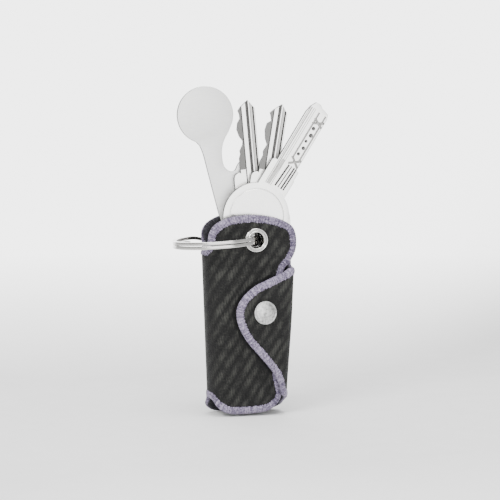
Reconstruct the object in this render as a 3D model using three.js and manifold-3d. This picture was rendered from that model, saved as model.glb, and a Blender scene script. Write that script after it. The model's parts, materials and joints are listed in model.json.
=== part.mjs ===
// Key organiser: a folded leather wrap with a snap flap, a split ring through two eyelets,
// three keys and a trolley token that fan out of the top.
// Millimetres, +Z up. X runs across the case and -Y is the front.
// While the parts are built, X = 0 is the middle of the case, Y = 0 the middle of its
// thickness and Z = 0 its bottom edge. The last lines move the origin under the whole object.

import * as THREE from 'three';
import { mergeVertices } from 'three/addons/utils/BufferGeometryUtils.js';
import Module from 'manifold-3d';

const wasm = await Module();
wasm.setup();

// ---- driving dimensions -------------------------------------------------------------------

const GAP = 0.3;                   // running gap between neighbouring solids
const FOLD_RADIUS = 8.7;           // outer radius of the fold down the left side
const FOLD_X = -11.1;              // the flat panels start here, right of the fold
const QUARTER_FOLD = FOLD_RADIUS * Math.PI / 2;
const LEATHER = 1.0;               // outer leather thickness
const LINING = 0.7;                // lining thickness
const WALL = LEATHER + GAP + LINING;
const BAND = 2.9;                  // width of the stitched border
const BAND_PROUD = 0.15;           // how far the border stands out of each face
const TAPER = 0.0024;              // narrowing of the case towards the bottom, per millimetre
const LEFT_TAPER = 0.0019;         // the same for the folded side
const TAPER_Z = 60;                // height at which the case has its nominal width
const PINCH = 0.06;                // share by which the right side is drawn in at the bottom

const NOTCH_TOP = 67.4;            // the fold ends here, under the split ring
const NOTCH_BOTTOM = 7.6;          // and here at the bottom
const CURVE_X = -6;                // the front is flat up to here
const FRONT_FLAT = CURVE_X - FOLD_X;
const FRONT_ARC = 18;              // length of the gentle curve across the front
const FRONT_TURN = 12 * Math.PI / 180;
const BACK_CORNER_X = 12.9;        // the back panel is flat up to here
const BACK_CORNER_RADIUS = 4.6;
const FLAP_LIFT = 2.9;             // the flap lies this far outside the front cover

const PIVOT_Z = 71.9;              // height of the eyelets and of the hole in each key
const RING_X = -14.4;              // centre of the split ring
const RING_RADIUS = 16.65;
const RING_WIDTH = 1.65;
const COIL_HEIGHT = 1.4;
const COIL_STEP = 1.65;            // height from the lower coil to the upper one
const RING_DROOP = 3.6 * Math.PI / 180;
const EYELET_X = 0.5;
const KEY_PIVOT_X = 2.2;           // where the ring passes the keys
const KEY_HOLE_RADIUS = 3.5;

const SNAP_X = 3.4;
const SNAP_Z = 42.6;

// ---- materials ----------------------------------------------------------------------------

const MATERIALS = {
  leather: { color: 0x25252b, roughness: 0.5, metalness: 0 },
  lining: { color: 0x111113, roughness: 0.85, metalness: 0 },
  thread: { color: 0x8f8ba3, roughness: 0.8, metalness: 0 },
  nickel: { color: 0xc9c7c2, roughness: 0.2, metalness: 1 },
  key_steel: { color: 0xc4c2bd, roughness: 0.28, metalness: 1 },
  token_steel: { color: 0xd2d1cd, roughness: 0.36, metalness: 1 },
};

const organiser = new THREE.Group();

// ---- solids -------------------------------------------------------------------------------

function positionsOnly(geometry) {
  const bare = geometry.clone();
  for (const attribute of ['normal', 'uv', 'uv1', 'color']) {
    bare.deleteAttribute(attribute);
  }
  return mergeVertices(bare, 1e-4);
}

function toSolid(geometry) {
  const bare = positionsOnly(geometry);
  const vertProperties = new Float32Array(bare.attributes.position.array);
  const triVerts = new Uint32Array(bare.index.array);
  const solid = new wasm.Manifold(new wasm.Mesh({ numProp: 3, vertProperties, triVerts }));
  if (solid.volume() > 0) {
    return solid;
  }
  for (let i = 0; i < triVerts.length; i += 3) {
    [triVerts[i], triVerts[i + 1]] = [triVerts[i + 1], triVerts[i]];
  }
  return new wasm.Manifold(new wasm.Mesh({ numProp: 3, vertProperties, triVerts }));
}

function toGeometry(solid) {
  const mesh = solid.getMesh();
  const geometry = new THREE.BufferGeometry();
  geometry.setAttribute('position', new THREE.BufferAttribute(mesh.vertProperties, 3));
  geometry.setIndex(new THREE.BufferAttribute(mesh.triVerts, 1));
  geometry.computeVertexNormals();
  return geometry;
}

function addPiece(name, geometry, material) {
  const facingOut = toGeometry(toSolid(geometry));
  const mesh = new THREE.Mesh(facingOut, new THREE.MeshStandardMaterial(MATERIALS[material]));
  mesh.name = name;
  organiser.add(mesh);
}

// A block with its corners moved by place(u, v, w), where u, v and w run from 0 to 1.
function shapedBlock(columns, rows, layers, place) {
  const block = new THREE.BoxGeometry(1, 1, 1, columns, rows, layers);
  const corners = block.attributes.position;
  for (let i = 0; i < corners.count; i += 1) {
    const point = place(corners.getX(i) + 0.5, corners.getY(i) + 0.5, corners.getZ(i) + 0.5);
    corners.setXYZ(i, point.x, point.y, point.z);
  }
  return toGeometry(toSolid(block));
}

// Turns a square section from -1 to 1 into one with rounded corners.
function roundSection(a, b, sharpness) {
  const reach = Math.max(Math.abs(a), Math.abs(b));
  if (reach < 1e-9) {
    return [0, 0];
  }
  const grown = (Math.abs(a) ** sharpness + Math.abs(b) ** sharpness) ** (1 / sharpness);
  return [a * reach / grown, b * reach / grown];
}

function ease(from, to, value) {
  const t = Math.min(1, Math.max(0, (value - from) / (to - from)));
  return t * t * (3 - 2 * t);
}

// ---- the leather walls --------------------------------------------------------------------

// Follows straight and curved stretches of a wall, seen from above.
// Each stretch is { length, bend }, with bend its turn per millimetre to the left.
function walk(start, heading, stretches, distance) {
  let { x, y } = start;
  let angle = heading;
  let left = distance;
  for (const stretch of stretches) {
    const step = Math.min(left, stretch.length);
    if (Math.abs(stretch.bend) < 1e-9) {
      x += step * Math.cos(angle);
      y += step * Math.sin(angle);
    } else {
      const next = angle + step * stretch.bend;
      x += (Math.sin(next) - Math.sin(angle)) / stretch.bend;
      y -= (Math.cos(next) - Math.cos(angle)) / stretch.bend;
      angle = next;
    }
    left -= step;
    if (left <= 0) {
      break;
    }
  }
  return { x, y, angle };
}

function tapered(x, z) {
  const taper = x < 0 ? LEFT_TAPER : TAPER;
  return x * (1 + taper * (z - TAPER_Z));
}

// How much of the fold there is at a height: the lobes above and below it lie flat.
function foldAmount(z) {
  return ease(-1, NOTCH_BOTTOM, z) * (1 - ease(NOTCH_TOP, 77, z));
}

// The front wall, with s measured from the fold's edge: negative round the fold,
// positive across the front. The depth goes in from the outer face.
function frontWall(s, z, depth) {
  const bend = foldAmount(z) / FOLD_RADIUS;
  const start = { x: FOLD_X, y: -FOLD_RADIUS };
  const right = [
    { length: FRONT_FLAT, bend: 0 },
    { length: FRONT_ARC, bend: FRONT_TURN / FRONT_ARC },
    { length: 100, bend: 0 },
  ];
  const spot = s >= 0
    ? walk(start, 0, right, s)
    : walk(start, Math.PI, [{ length: 100, bend: -bend }], -s);
  const inward = s >= 0 ? spot.angle + Math.PI / 2 : spot.angle - Math.PI / 2;
  const x = spot.x + depth * Math.cos(inward);
  const y = spot.y + depth * Math.sin(inward);
  return new THREE.Vector3(tapered(x, z), y, z);
}

// The flap's outer face runs parallel to the front cover, so its corner and the side wall
// follow from where that curve ends.
const FLAP_START = { x: FOLD_X + FRONT_FLAT, y: -FOLD_RADIUS - FLAP_LIFT };
const FLAP_ARC_RADIUS = FRONT_ARC / FRONT_TURN + FLAP_LIFT;
const FLAP_ARC = FLAP_ARC_RADIUS * FRONT_TURN;
const SIDE_X = BACK_CORNER_X + BACK_CORNER_RADIUS;
const FLAP_ARC_END = walk(FLAP_START, 0, [{ length: FLAP_ARC, bend: 1 / FLAP_ARC_RADIUS }], FLAP_ARC);
const FRONT_CORNER_RADIUS = (SIDE_X - FLAP_ARC_END.x) / (1 - Math.sin(FRONT_TURN));
const FRONT_CORNER = FRONT_CORNER_RADIUS * (Math.PI / 2 - FRONT_TURN);
const BACK_FLAT = BACK_CORNER_X - FOLD_X;
const BACK_CORNER = BACK_CORNER_RADIUS * Math.PI / 2;
const SIDE_START_Y = FOLD_RADIUS - BACK_CORNER_RADIUS;
const SIDE_END_Y = FLAP_ARC_END.y + FRONT_CORNER_RADIUS * Math.cos(FRONT_TURN);
const SIDE_FLAT = SIDE_START_Y - SIDE_END_Y;

// How much the back panel turns round the right side at a height.
function sideAmount(z) {
  return ease(-2, 4.5, z) * (1 - ease(60.2, 66, z));
}

// The right side is drawn in towards the bottom.
function pinched(x, z) {
  return x * (1 - PINCH * ease(4, 16, x) * (1 - ease(4, 44, z)));
}

// The back wall, then the side wall, then the flap, with s measured from the fold's edge.
function backWall(s, z, depth) {
  const fold = foldAmount(z) / FOLD_RADIUS;
  const side = sideAmount(z);
  const start = { x: FOLD_X, y: FOLD_RADIUS };
  const right = [
    { length: BACK_FLAT, bend: 0 },
    { length: BACK_CORNER, bend: -side / BACK_CORNER_RADIUS },
    { length: SIDE_FLAT, bend: 0 },
    { length: FRONT_CORNER, bend: -side / FRONT_CORNER_RADIUS },
    { length: FLAP_ARC, bend: -side / FLAP_ARC_RADIUS },
    { length: 100, bend: 0 },
  ];
  const spot = s >= 0
    ? walk(start, 0, right, s)
    : walk(start, Math.PI, [{ length: 100, bend: fold }], -s);
  const inward = s >= 0 ? spot.angle - Math.PI / 2 : spot.angle + Math.PI / 2;
  const x = spot.x + depth * Math.cos(inward);
  const y = spot.y + depth * Math.sin(inward);
  return new THREE.Vector3(pinched(tapered(x, z), z), y, z);
}

const FLAP_END_S = BACK_FLAT + BACK_CORNER + SIDE_FLAT + FRONT_CORNER + FLAP_ARC;
const FLAP_HINGE_S = BACK_FLAT + BACK_CORNER + SIDE_FLAT + 0.55 * FRONT_CORNER;
const SIDE_SPLIT_S = BACK_FLAT + 0.85;

// ---- outlines, as points (s, z) -----------------------------------------------------------

// A smooth line through points (x, z), where x is measured on the unrolled wall.
function unrolledLine(points, spacing = 2.1) {
  const curve = new THREE.SplineCurve(points.map(([x, z]) => new THREE.Vector2(x - FOLD_X, z)));
  return curve.getSpacedPoints(Math.round(curve.getLength() / spacing));
}

// Moves an open line sideways, to its right, by a distance, and drops the loops this makes
// inside tight corners.
function insetLine(line, distance) {
  const moved = line.map((point, i) => {
    const before = line[Math.max(0, i - 1)];
    const after = line[Math.min(line.length - 1, i + 1)];
    const along = after.clone().sub(before).normalize();
    return new THREE.Vector2(point.x + along.y * distance, point.y - along.x * distance);
  });
  return moved.filter((point) => line.every((edge) => edge.distanceTo(point) > 0.97 * distance));
}

// The lowest and highest place where a closed outline crosses a line, across or upright.
function crossings(outline, level, upright) {
  const hits = [];
  outline.forEach((a, i) => {
    const b = outline[(i + 1) % outline.length];
    const [a0, a1, b0, b1] = upright ? [a.x, a.y, b.x, b.y] : [a.y, a.x, b.y, b.x];
    if ((a0 <= level) !== (b0 <= level)) {
      hits.push(a1 + (level - a0) / (b0 - a0) * (b1 - a1));
    }
  });
  return [Math.min(...hits), Math.max(...hits)];
}

const FOLD_MIDDLE = FOLD_X - QUARTER_FOLD;
const FRONT_FOLD_EDGE = FOLD_MIDDLE + 1.1;     // leaves room for the front cover to swing
const BACK_FOLD_EDGE = FOLD_MIDDLE + GAP / 2;
const LOBE_LEFT = [[-21.2, 67.6], [-19.7, 69.2], [-18.9, 72], [-18.2, 74.4], [-16.8, 76.9],
  [-14.6, 78.9], [-10.6, 80.8], [-6.5, 81.6], [-2, 81.9], [2.8, 81.6], [8.3, 80.7], [12.4, 79.2]];
const FRONT_FOOT = [[-12, 1.6], [-15.2, 2.7], [-17.9, 4.6], [-20.6, 6.8]];
const BACK_FOOT = [[-14.8, 0.7], [-17.9, 1.8], [-20.4, 3.8], [-22.2, 6.4]];

const FRONT_EDGE = unrolledLine([
  [FRONT_FOLD_EDGE, NOTCH_TOP],
  ...LOBE_LEFT,
  [15.9, 77], [17.4, 74.2], [18, 70.6], [17.7, 67.2], [16, 63.6], [13.2, 60], [12, 56.6],
  [11.4, 50], [11.3, 40], [11.3, 28], [11.5, 17.5], [12.6, 13], [13.5, 9.2], [12.7, 6.1],
  [10.2, 3.7], [6.4, 2], [0, 1.4], [-7.5, 1.2],
  ...FRONT_FOOT,
  [FRONT_FOLD_EDGE, NOTCH_BOTTOM],
]);

const BACK_TOP_EDGE = unrolledLine([
  [BACK_FOLD_EDGE, NOTCH_TOP],
  ...LOBE_LEFT,
  [15.4, 77], [16.8, 74], [17.3, 70.4], [17.6, 66.4], [19, 63], [22, 61], [26, 60.2],
  [FLAP_HINGE_S + FOLD_X - GAP / 2, 60],
]);

const BACK_BOTTOM_EDGE = unrolledLine([
  [FLAP_HINGE_S + FOLD_X - GAP / 2, 8],
  [29.5, 7], [25.5, 5.4], [21.8, 3.8], [18.6, 2.5], [15.6, 1.4],
  [12, 0.6], [6, 0.1], [-2, 0], [-9, 0.1],
  ...BACK_FOOT,
  [BACK_FOLD_EDGE, NOTCH_BOTTOM],
]);

// The flap's edge, with x as it lies over the front cover.
const FLAP_EDGE = unrolledLine([
  [16.3, 60], [12.4, 58.5], [4.6, 55.3], [-0.1, 53.2], [-4.9, 49.4], [-7.7, 44.9], [-8, 40.7],
  [-6.7, 36.2], [-3.6, 31], [1.3, 25.7], [6.6, 20.3], [10.1, 16.4], [12.2, 12.9],
  [13.2, 10.4], [14.2, 8.9], [15.3, 8.15], [16.3, 8],
].map(([x, z]) => {
  const over = FLAP_END_S - (x - CURVE_X) + FOLD_X;
  return [Math.max(over, FLAP_HINGE_S + FOLD_X + GAP / 2), z];
}));

// ---- layers and borders -------------------------------------------------------------------

const LAYER_INSET = BAND + GAP + 0.1;

// Heights of the rows: close together near rounded ends and where a wall goes from folded to flat.
const ROW_LEVELS = [4.2, 5.6, 7, 8.2, 9.2, 9.9, 10.4, 10.8, 13, 20, 34, 50, 57, 61, 64, 64.3,
  64.8, 65.6, 67.4, 69.5, 71.5, 73.5, 75.5, 77.2];

const FLAP_LEVELS = [11.6, 12, 12.6, 13.4, 14.6, 16.5, 19, 22, 25, 28, 31, 34, 37, 39.5, 42,
  44.5, 46.5, 48.5, 50, 51.5, 53, 54.5, 55.8];

// One layer of a wall inside an outline, between two depths, laid out in rows.
function layerInRows(wall, outline, depths, columns, rowLevels, limitS = Infinity) {
  const heights = outline.map((point) => point.y);
  const low = Math.min(...heights) + 0.05;
  const high = Math.max(...heights) - 0.05;
  const between = rowLevels.filter((z) => z > low + 0.3 && z < high - 0.3);
  const levels = [low, ...between, high];
  return shapedBlock(columns, levels.length - 1, 1, (u, v, w) => {
    const z = levels[Math.round(v * (levels.length - 1))];
    const [from, to] = crossings(outline, z, false);
    const end = Math.min(to, limitS);
    return wall(from + (end - from) * u, z, w < 0.5 ? depths[1] : depths[0]);
  });
}

// The same between two values of s, laid out in columns.
function layerInColumns(wall, outline, depths, fromS, toS, columns, rows) {
  return shapedBlock(columns, rows, 1, (u, v, w) => {
    const s = fromS + (toS - fromS) * u;
    const [low, high] = crossings(outline, s, true);
    return wall(s, low + (high - low) * v, w < 0.5 ? depths[1] : depths[0]);
  });
}

// The stitched border that wraps an edge: a rounded bar along the edge line.
function borderBar(wall, edge) {
  const line = insetLine(edge, BAND / 2);
  const steps = line.length - 1;
  line[0].x = edge[0].x;
  line[steps].x = edge[edge.length - 1].x;
  const halfThick = WALL / 2 + BAND_PROUD;
  return shapedBlock(2, 2, steps, (u, v, w) => {
    const i = Math.round(w * steps);
    const before = line[Math.max(0, i - 1)];
    const after = line[Math.min(steps, i + 1)];
    const along = after.clone().sub(before);
    if (i === 0 || i === steps) {
      along.y = 0;
    }
    along.normalize();
    const [a, b] = roundSection(2 * u - 1, 2 * v - 1, 4);
    const s = line[i].x + along.y * a * BAND / 2;
    const z = line[i].y - along.x * a * BAND / 2;
    return wall(s, z, WALL / 2 + b * halfThick);
  });
}

// Sets a turned piece on a wall, with its axis along the wall's outward direction.
function setOnWall(geometry, wall, s, z) {
  const outer = wall(s, z, 0);
  const outward = outer.clone().sub(wall(s, z, 1)).normalize();
  const turn = new THREE.Quaternion().setFromUnitVectors(new THREE.Vector3(0, 1, 0), outward);
  const placed = geometry.clone();
  placed.applyQuaternion(turn);
  placed.translate(outer.x, outer.y, outer.z);
  return placed;
}

function withHole(geometry, wall, s, z, radius) {
  const drill = setOnWall(new THREE.CylinderGeometry(radius, radius, 10, 24), wall, s, z);
  return toGeometry(toSolid(geometry).subtract(toSolid(drill)));
}

// A turned piece from points (radius, height), with the height out of the wall.
function turned(points, segments = 28) {
  const profile = points.map(([radius, height]) => new THREE.Vector2(radius, height));
  profile.push(profile[0].clone());
  return new THREE.LatheGeometry(profile, segments);
}

const OUTER_LAYER = [0, LEATHER];
const INNER_LAYER = [LEATHER + GAP, WALL];
const EYELET_S = EYELET_X - FOLD_X;
const EYELET_HOLE = 3.65;
const SNAP_TURN = Math.asin((SNAP_X / (1 + TAPER * (SNAP_Z - TAPER_Z)) - FOLD_X - FRONT_FLAT)
  / (FRONT_ARC / FRONT_TURN));
const SNAP_FRONT_S = FRONT_FLAT + SNAP_TURN * FRONT_ARC / FRONT_TURN;
const SNAP_FLAP_S = FLAP_END_S - SNAP_TURN * FLAP_ARC_RADIUS;

// ---- front cover --------------------------------------------------------------------------

const frontInset = insetLine(FRONT_EDGE, LAYER_INSET);
frontInset[0].x = FRONT_EDGE[0].x;
frontInset[frontInset.length - 1].x = FRONT_EDGE[0].x;
const frontLeather = layerInRows(frontWall, frontInset, OUTER_LAYER, 11, ROW_LEVELS);
const frontLining = layerInRows(frontWall, frontInset, INNER_LAYER, 11, ROW_LEVELS);
const frontCover = withHole(frontLeather, frontWall, EYELET_S, PIVOT_Z, EYELET_HOLE);
addPiece('front_cover', withHole(frontCover, frontWall, SNAP_FRONT_S, SNAP_Z, 2.4), 'leather');
const frontInner = withHole(frontLining, frontWall, EYELET_S, PIVOT_Z, EYELET_HOLE);
addPiece('front_lining', withHole(frontInner, frontWall, SNAP_FRONT_S, SNAP_Z, 3.9), 'lining');
addPiece('front_edge_stitching', borderBar(frontWall, FRONT_EDGE), 'thread');

// ---- back panel and side wall -------------------------------------------------------------

const topInset = insetLine(BACK_TOP_EDGE, LAYER_INSET);
const bottomInset = insetLine(BACK_BOTTOM_EDGE, LAYER_INSET);
topInset[topInset.length - 1].x = FLAP_HINGE_S;
bottomInset[0].x = FLAP_HINGE_S;
const backInset = [...topInset, ...bottomInset];
backInset[0].x = BACK_TOP_EDGE[0].x;
backInset[backInset.length - 1].x = BACK_TOP_EDGE[0].x;
const backEnd = SIDE_SPLIT_S - GAP / 2;
const backLeather = layerInRows(backWall, backInset, OUTER_LAYER, 10, ROW_LEVELS, backEnd);
const backLining = layerInRows(backWall, backInset, INNER_LAYER, 10, ROW_LEVELS, backEnd);
addPiece('back_cover', withHole(backLeather, backWall, EYELET_S, PIVOT_Z, EYELET_HOLE), 'leather');
addPiece('back_lining', withHole(backLining, backWall, EYELET_S, PIVOT_Z, EYELET_HOLE), 'lining');

const sideFrom = SIDE_SPLIT_S + GAP / 2;
const sideTo = FLAP_HINGE_S - GAP / 2;
addPiece('side_wall',
  layerInColumns(backWall, backInset, OUTER_LAYER, sideFrom, sideTo, 10, 8), 'leather');
addPiece('side_lining',
  layerInColumns(backWall, backInset, INNER_LAYER, sideFrom, sideTo, 10, 8), 'lining');
addPiece('back_top_stitching', borderBar(backWall, BACK_TOP_EDGE), 'thread');
addPiece('back_bottom_stitching', borderBar(backWall, BACK_BOTTOM_EDGE), 'thread');

// ---- closure flap -------------------------------------------------------------------------

const flapInset = insetLine(FLAP_EDGE, LAYER_INSET);
flapInset[0].x = FLAP_EDGE[0].x;
flapInset[flapInset.length - 1].x = FLAP_EDGE[0].x;
const flapLeather = layerInRows(backWall, flapInset, OUTER_LAYER, 8, FLAP_LEVELS);
const flapLining = layerInRows(backWall, flapInset, INNER_LAYER, 8, FLAP_LEVELS);
addPiece('closure_flap', withHole(flapLeather, backWall, SNAP_FLAP_S, SNAP_Z, 1.6), 'leather');
addPiece('flap_lining', withHole(flapLining, backWall, SNAP_FLAP_S, SNAP_Z, 4.9), 'lining');
addPiece('flap_edge_stitching', borderBar(backWall, FLAP_EDGE), 'thread');

// ---- snap fastener ------------------------------------------------------------------------

const CAP_RADIUS = 4.8;
const snapCap = new THREE.LatheGeometry([
  [0, -1.6], [1.2, -1.6], [1.2, GAP], [4.4, GAP], [CAP_RADIUS, 0.6], [CAP_RADIUS, 0.9],
  [4.4, 1.2], [4.1, 1.15], [3.8, 1.35], [2.8, 1.7], [1.4, 1.9], [0, 1.95],
].map(([radius, height]) => new THREE.Vector2(radius, height)), 28);
addPiece('snap_cap', setOnWall(snapCap, backWall, SNAP_FLAP_S, SNAP_Z), 'nickel');

const snapSocket = turned([[2.55, -1.3], [4.5, -1.3], [4.5, -2.2], [4.1, -2.55], [2.55, -2.55]]);
addPiece('snap_socket', setOnWall(snapSocket, backWall, SNAP_FLAP_S, SNAP_Z), 'nickel');

const snapStud = new THREE.LatheGeometry([
  [0, -1.95], [3.5, -1.95], [3.5, -LEATHER - GAP], [2.05, -LEATHER - GAP], [2.05, GAP],
  [1.75, GAP + 0.15], [2.2, 0.7], [1.9, 1.05], [0, 1.1],
].map(([radius, height]) => new THREE.Vector2(radius, height)), 24);
addPiece('snap_stud', setOnWall(snapStud, frontWall, SNAP_FRONT_S, SNAP_Z), 'nickel');

// ---- eyelets ------------------------------------------------------------------------------

const eyelet = turned([
  [2.95, 0.7], [3.3, 1.3], [3.9, 1.5], [4.7, 1.2], [5, 0.7], [4.9, GAP], [3.35, GAP],
  [3.35, -WALL - GAP], [4.3, -WALL - GAP], [4.3, -WALL - 0.7], [3.6, -WALL - 0.85],
  [2.95, -WALL - 0.4],
]);
addPiece('front_eyelet', setOnWall(eyelet, frontWall, EYELET_S, PIVOT_Z), 'nickel');
addPiece('back_eyelet', setOnWall(eyelet, backWall, EYELET_S, PIVOT_Z), 'nickel');

// ---- split ring ---------------------------------------------------------------------------

// Two turns of flat wire. The lower coil climbs to the upper one over a short stretch, and
// both ends stop just clear of it.
const CLIMB = 16 * Math.PI / 180;
const END_CLEARANCE = 3 * Math.PI / 180;
const CLIMB_ANGLE = 100 * Math.PI / 180;
const ringSteps = 92;
const splitRing = shapedBlock(2, 2, ringSteps, (u, v, w) => {
  const first = CLIMB + END_CLEARANCE;
  const turnAngle = first + w * (4 * Math.PI - 2 * first);
  const climbed = ease(2 * Math.PI - CLIMB, 2 * Math.PI + CLIMB, turnAngle);
  const [a, b] = roundSection(2 * u - 1, 2 * v - 1, 3.5);
  const radius = RING_RADIUS + a * RING_WIDTH / 2;
  const height = COIL_STEP * (climbed - 0.5) + b * COIL_HEIGHT / 2;
  const angle = CLIMB_ANGLE + turnAngle;
  const point = new THREE.Vector3(radius * Math.cos(angle), radius * Math.sin(angle), height);
  point.x += RING_X - EYELET_X;
  point.applyAxisAngle(new THREE.Vector3(0, 1, 0), -RING_DROOP);
  return point.add(new THREE.Vector3(EYELET_X, 0, PIVOT_Z));
});
addPiece('split_ring', splitRing, 'nickel');

// ---- keys and token -----------------------------------------------------------------------

// Each is a flat plate drawn with the ring at (0, 0) and its length up, then leaned over.
const EDGE_BEVEL = 0.22;
const TOKEN = { thickness: 1.8, y: 4.45, lean: -21.6 };
const KEY_1 = { thickness: 2.0, y: 2.25, lean: -5.2 };
const KEY_2 = { thickness: 2.0, y: -0.05, lean: 9 };
const KEY_3 = { thickness: 2.2, y: -2.45, lean: 31.8 };

function plate(shape, thickness) {
  const geometry = new THREE.ExtrudeGeometry(shape, {
    depth: thickness - 2 * EDGE_BEVEL,
    bevelEnabled: true,
    bevelThickness: EDGE_BEVEL,
    bevelSize: EDGE_BEVEL,
    bevelOffset: -EDGE_BEVEL,
    bevelSegments: 1,
    curveSegments: 9,
  });
  geometry.translate(0, 0, EDGE_BEVEL - thickness / 2);
  return geometry;
}

// Stands a plate up at its place in the stack.
function standUp(geometry, { y, lean }) {
  geometry.rotateX(Math.PI / 2);
  geometry.rotateY(lean * Math.PI / 180);
  geometry.translate(KEY_PIVOT_X, y, PIVOT_Z);
  return geometry;
}

// A groove along a plate, on its front face (side 1) or its back face (side -1).
function cutGroove(solid, thickness, side, u, width, from, to, depth) {
  const groove = new THREE.BoxGeometry(width, to - from, 2 * depth);
  groove.translate(u, (from + to) / 2, side * thickness / 2);
  return solid.subtract(toSolid(groove));
}

function drawHole(shape, radius, left = 0, right = 0) {
  const hole = new THREE.Path();
  hole.absarc(right, 0, radius, -Math.PI / 2, Math.PI / 2, false);
  hole.absarc(left, 0, radius, Math.PI / 2, 3 * Math.PI / 2, false);
  hole.closePath();
  shape.holes.push(hole);
}

const BOW_RADIUS = 12.5;
const BOW_HEIGHT = 6.5;
const SHOULDER_HEIGHT = 27.2;

// A cylinder-lock key. The cuts are [height, depth] along the left edge of its blade.
function cylinderKey(left, right, tip, cuts, place) {
  const centre = (left + right) / 2;
  const neck = 7;
  const neckAngle = Math.acos(neck / BOW_RADIUS);
  const shape = new THREE.Shape();
  shape.absarc(centre, BOW_HEIGHT, BOW_RADIUS, Math.PI - neckAngle, 2 * Math.PI + neckAngle, false);
  shape.lineTo(centre + neck, 24.5);
  shape.quadraticCurveTo(centre + neck - 0.2, SHOULDER_HEIGHT, right + 0.6, SHOULDER_HEIGHT);
  shape.lineTo(right, SHOULDER_HEIGHT - 0.3);
  shape.lineTo(right, tip - 3.6);
  shape.lineTo(right - 1.6, tip - 1.3);
  shape.lineTo(right - 2.6, tip);
  for (const [height, depth] of [...cuts].reverse()) {
    shape.lineTo(left + depth, height);
  }
  shape.lineTo(left, SHOULDER_HEIGHT - 0.3);
  shape.lineTo(left - 0.4, SHOULDER_HEIGHT);
  shape.quadraticCurveTo(centre - neck + 0.2, SHOULDER_HEIGHT, centre - neck, 24.5);
  drawHole(shape, KEY_HOLE_RADIUS);
  let solid = toSolid(plate(shape, place.thickness));
  solid = cutGroove(solid, place.thickness, 1, right - 2.2, 1.2, 22, tip + 2, 0.5);
  solid = cutGroove(solid, place.thickness, -1, left + 3.2, 1.3, 22, tip + 2, 0.5);
  return standUp(toGeometry(solid), place);
}

const CUTS_1 = [[33, 0], [34.6, 0.6], [36.1, 0.5], [38.3, 1.8], [39.9, 2.1], [41.9, 0.8],
  [44.8, 0], [47.4, 0.5], [49.2, 1.7], [51, 1.6], [52.4, 1.1], [54, 2.4]];
const CUTS_2 = [[31.5, 0], [34.2, 0.9], [35.6, 0.6], [38.6, 1.8], [40.8, 0.7], [44.4, 0],
  [47.2, 0.5], [48.5, 2.1], [50.3, 1.6], [51.6, 1.0], [53, 2.2]];
addPiece('key_1', cylinderKey(-3.2, 4.9, 56.4, CUTS_1, KEY_1), 'key_steel');
addPiece('key_2', cylinderKey(-2.95, 5.1, 55.7, CUTS_2, KEY_2), 'key_steel');

// A dimple key with a round head. The ring sits at one end of a wide slot in the head.
function dimpleKey(place) {
  const axis = -5.2;
  const headHeight = 7.7;
  const headRadius = 13.7;
  const blade = 4.65;
  const neckLeft = 6.6;
  const neckRight = 6.2;
  const neckTop = 32;
  const tip = 60.2;
  const angleOf = (half) => Math.acos(half / headRadius);
  const shape = new THREE.Shape();
  shape.absarc(axis, headHeight, headRadius,
    Math.PI - angleOf(neckLeft), 2 * Math.PI + angleOf(neckRight), false);
  shape.lineTo(axis + neckRight, neckTop - 0.8);
  shape.lineTo(axis + neckRight - 0.7, neckTop);
  shape.lineTo(axis + blade, neckTop);
  shape.lineTo(axis + blade, tip - 4);
  shape.lineTo(axis + 3.9, tip - 1.9);
  shape.lineTo(axis + 0.6, tip - 0.9);
  shape.lineTo(axis - 0.7, tip);
  shape.lineTo(axis - 2.8, tip);
  shape.lineTo(axis - 4.1, tip - 2.4);
  shape.lineTo(axis - blade, tip - 5.2);
  shape.lineTo(axis - blade, neckTop);
  shape.lineTo(axis - neckLeft + 0.9, neckTop);
  shape.lineTo(axis - neckLeft, neckTop - 0.9);
  drawHole(shape, KEY_HOLE_RADIUS, 2 * axis, 0);
  let solid = toSolid(plate(shape, place.thickness));
  solid = cutGroove(solid, place.thickness, 1, axis + 1.9, 3.4, 33.5, 57, 0.35);
  solid = cutGroove(solid, place.thickness, -1, axis - 1.9, 3.4, 33.5, 57, 0.35);
  const dimpleSizes = [1.3, 1.05, 1.4, 1.15, 1.3, 1.0];
  dimpleSizes.forEach((radius, i) => {
    const dimple = new THREE.CylinderGeometry(radius, 0.3, 1.2, 16);
    dimple.rotateX(Math.PI / 2);
    dimple.translate(axis + 1.9, 35.6 + 3.9 * i, place.thickness / 2 - 0.25);
    solid = solid.subtract(toSolid(dimple));
  });
  return standUp(toGeometry(solid), place);
}

addPiece('key_3', dimpleKey(KEY_3), 'key_steel');

// A trolley token on a shaped handle.
function trolleyToken(place) {
  const coinRadius = 11.6;
  const coinHeight = 54.15;
  const coin = new THREE.EllipseCurve(0, coinHeight, coinRadius, coinRadius,
    -38 * Math.PI / 180, 229 * Math.PI / 180, false);
  const handle = new THREE.SplineCurve([[-6.75, 43.4], [-6.7, 39.5], [-7.6, 32], [-8.9, 21],
    [-9.8, 12], [-9.6, 2], [-6, -5], [0, -6.6], [6, -5], [10, 1], [11.4, 10], [11.8, 20],
    [10.8, 27.5], [7.8, 31.2], [5.2, 30.4], [3, 28.5], [1, 29.1], [-0.4, 31.6], [0, 35],
    [1.2, 38.4], [3.4, 41.6], [6.4, 44.2]].map(([u, v]) => new THREE.Vector2(u, v)));
  const shape = new THREE.Shape([...coin.getPoints(40), ...handle.getSpacedPoints(60)]);
  drawHole(shape, KEY_HOLE_RADIUS);
  return standUp(plate(shape, place.thickness), place);
}

addPiece('trolley_token', toGeometry(toSolid(trolleyToken(TOKEN))), 'token_steel');

// ---- origin under the middle of the whole object ------------------------------------------

const bounds = new THREE.Box3().setFromObject(organiser);
const middle = bounds.getCenter(new THREE.Vector3());
organiser.children.forEach((piece) => {
  piece.geometry.translate(-middle.x, -middle.y, -bounds.min.z);
});

export default organiser;
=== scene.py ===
import json
import math
import random

import bmesh
import bpy
from mathutils import Matrix, Vector


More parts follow.
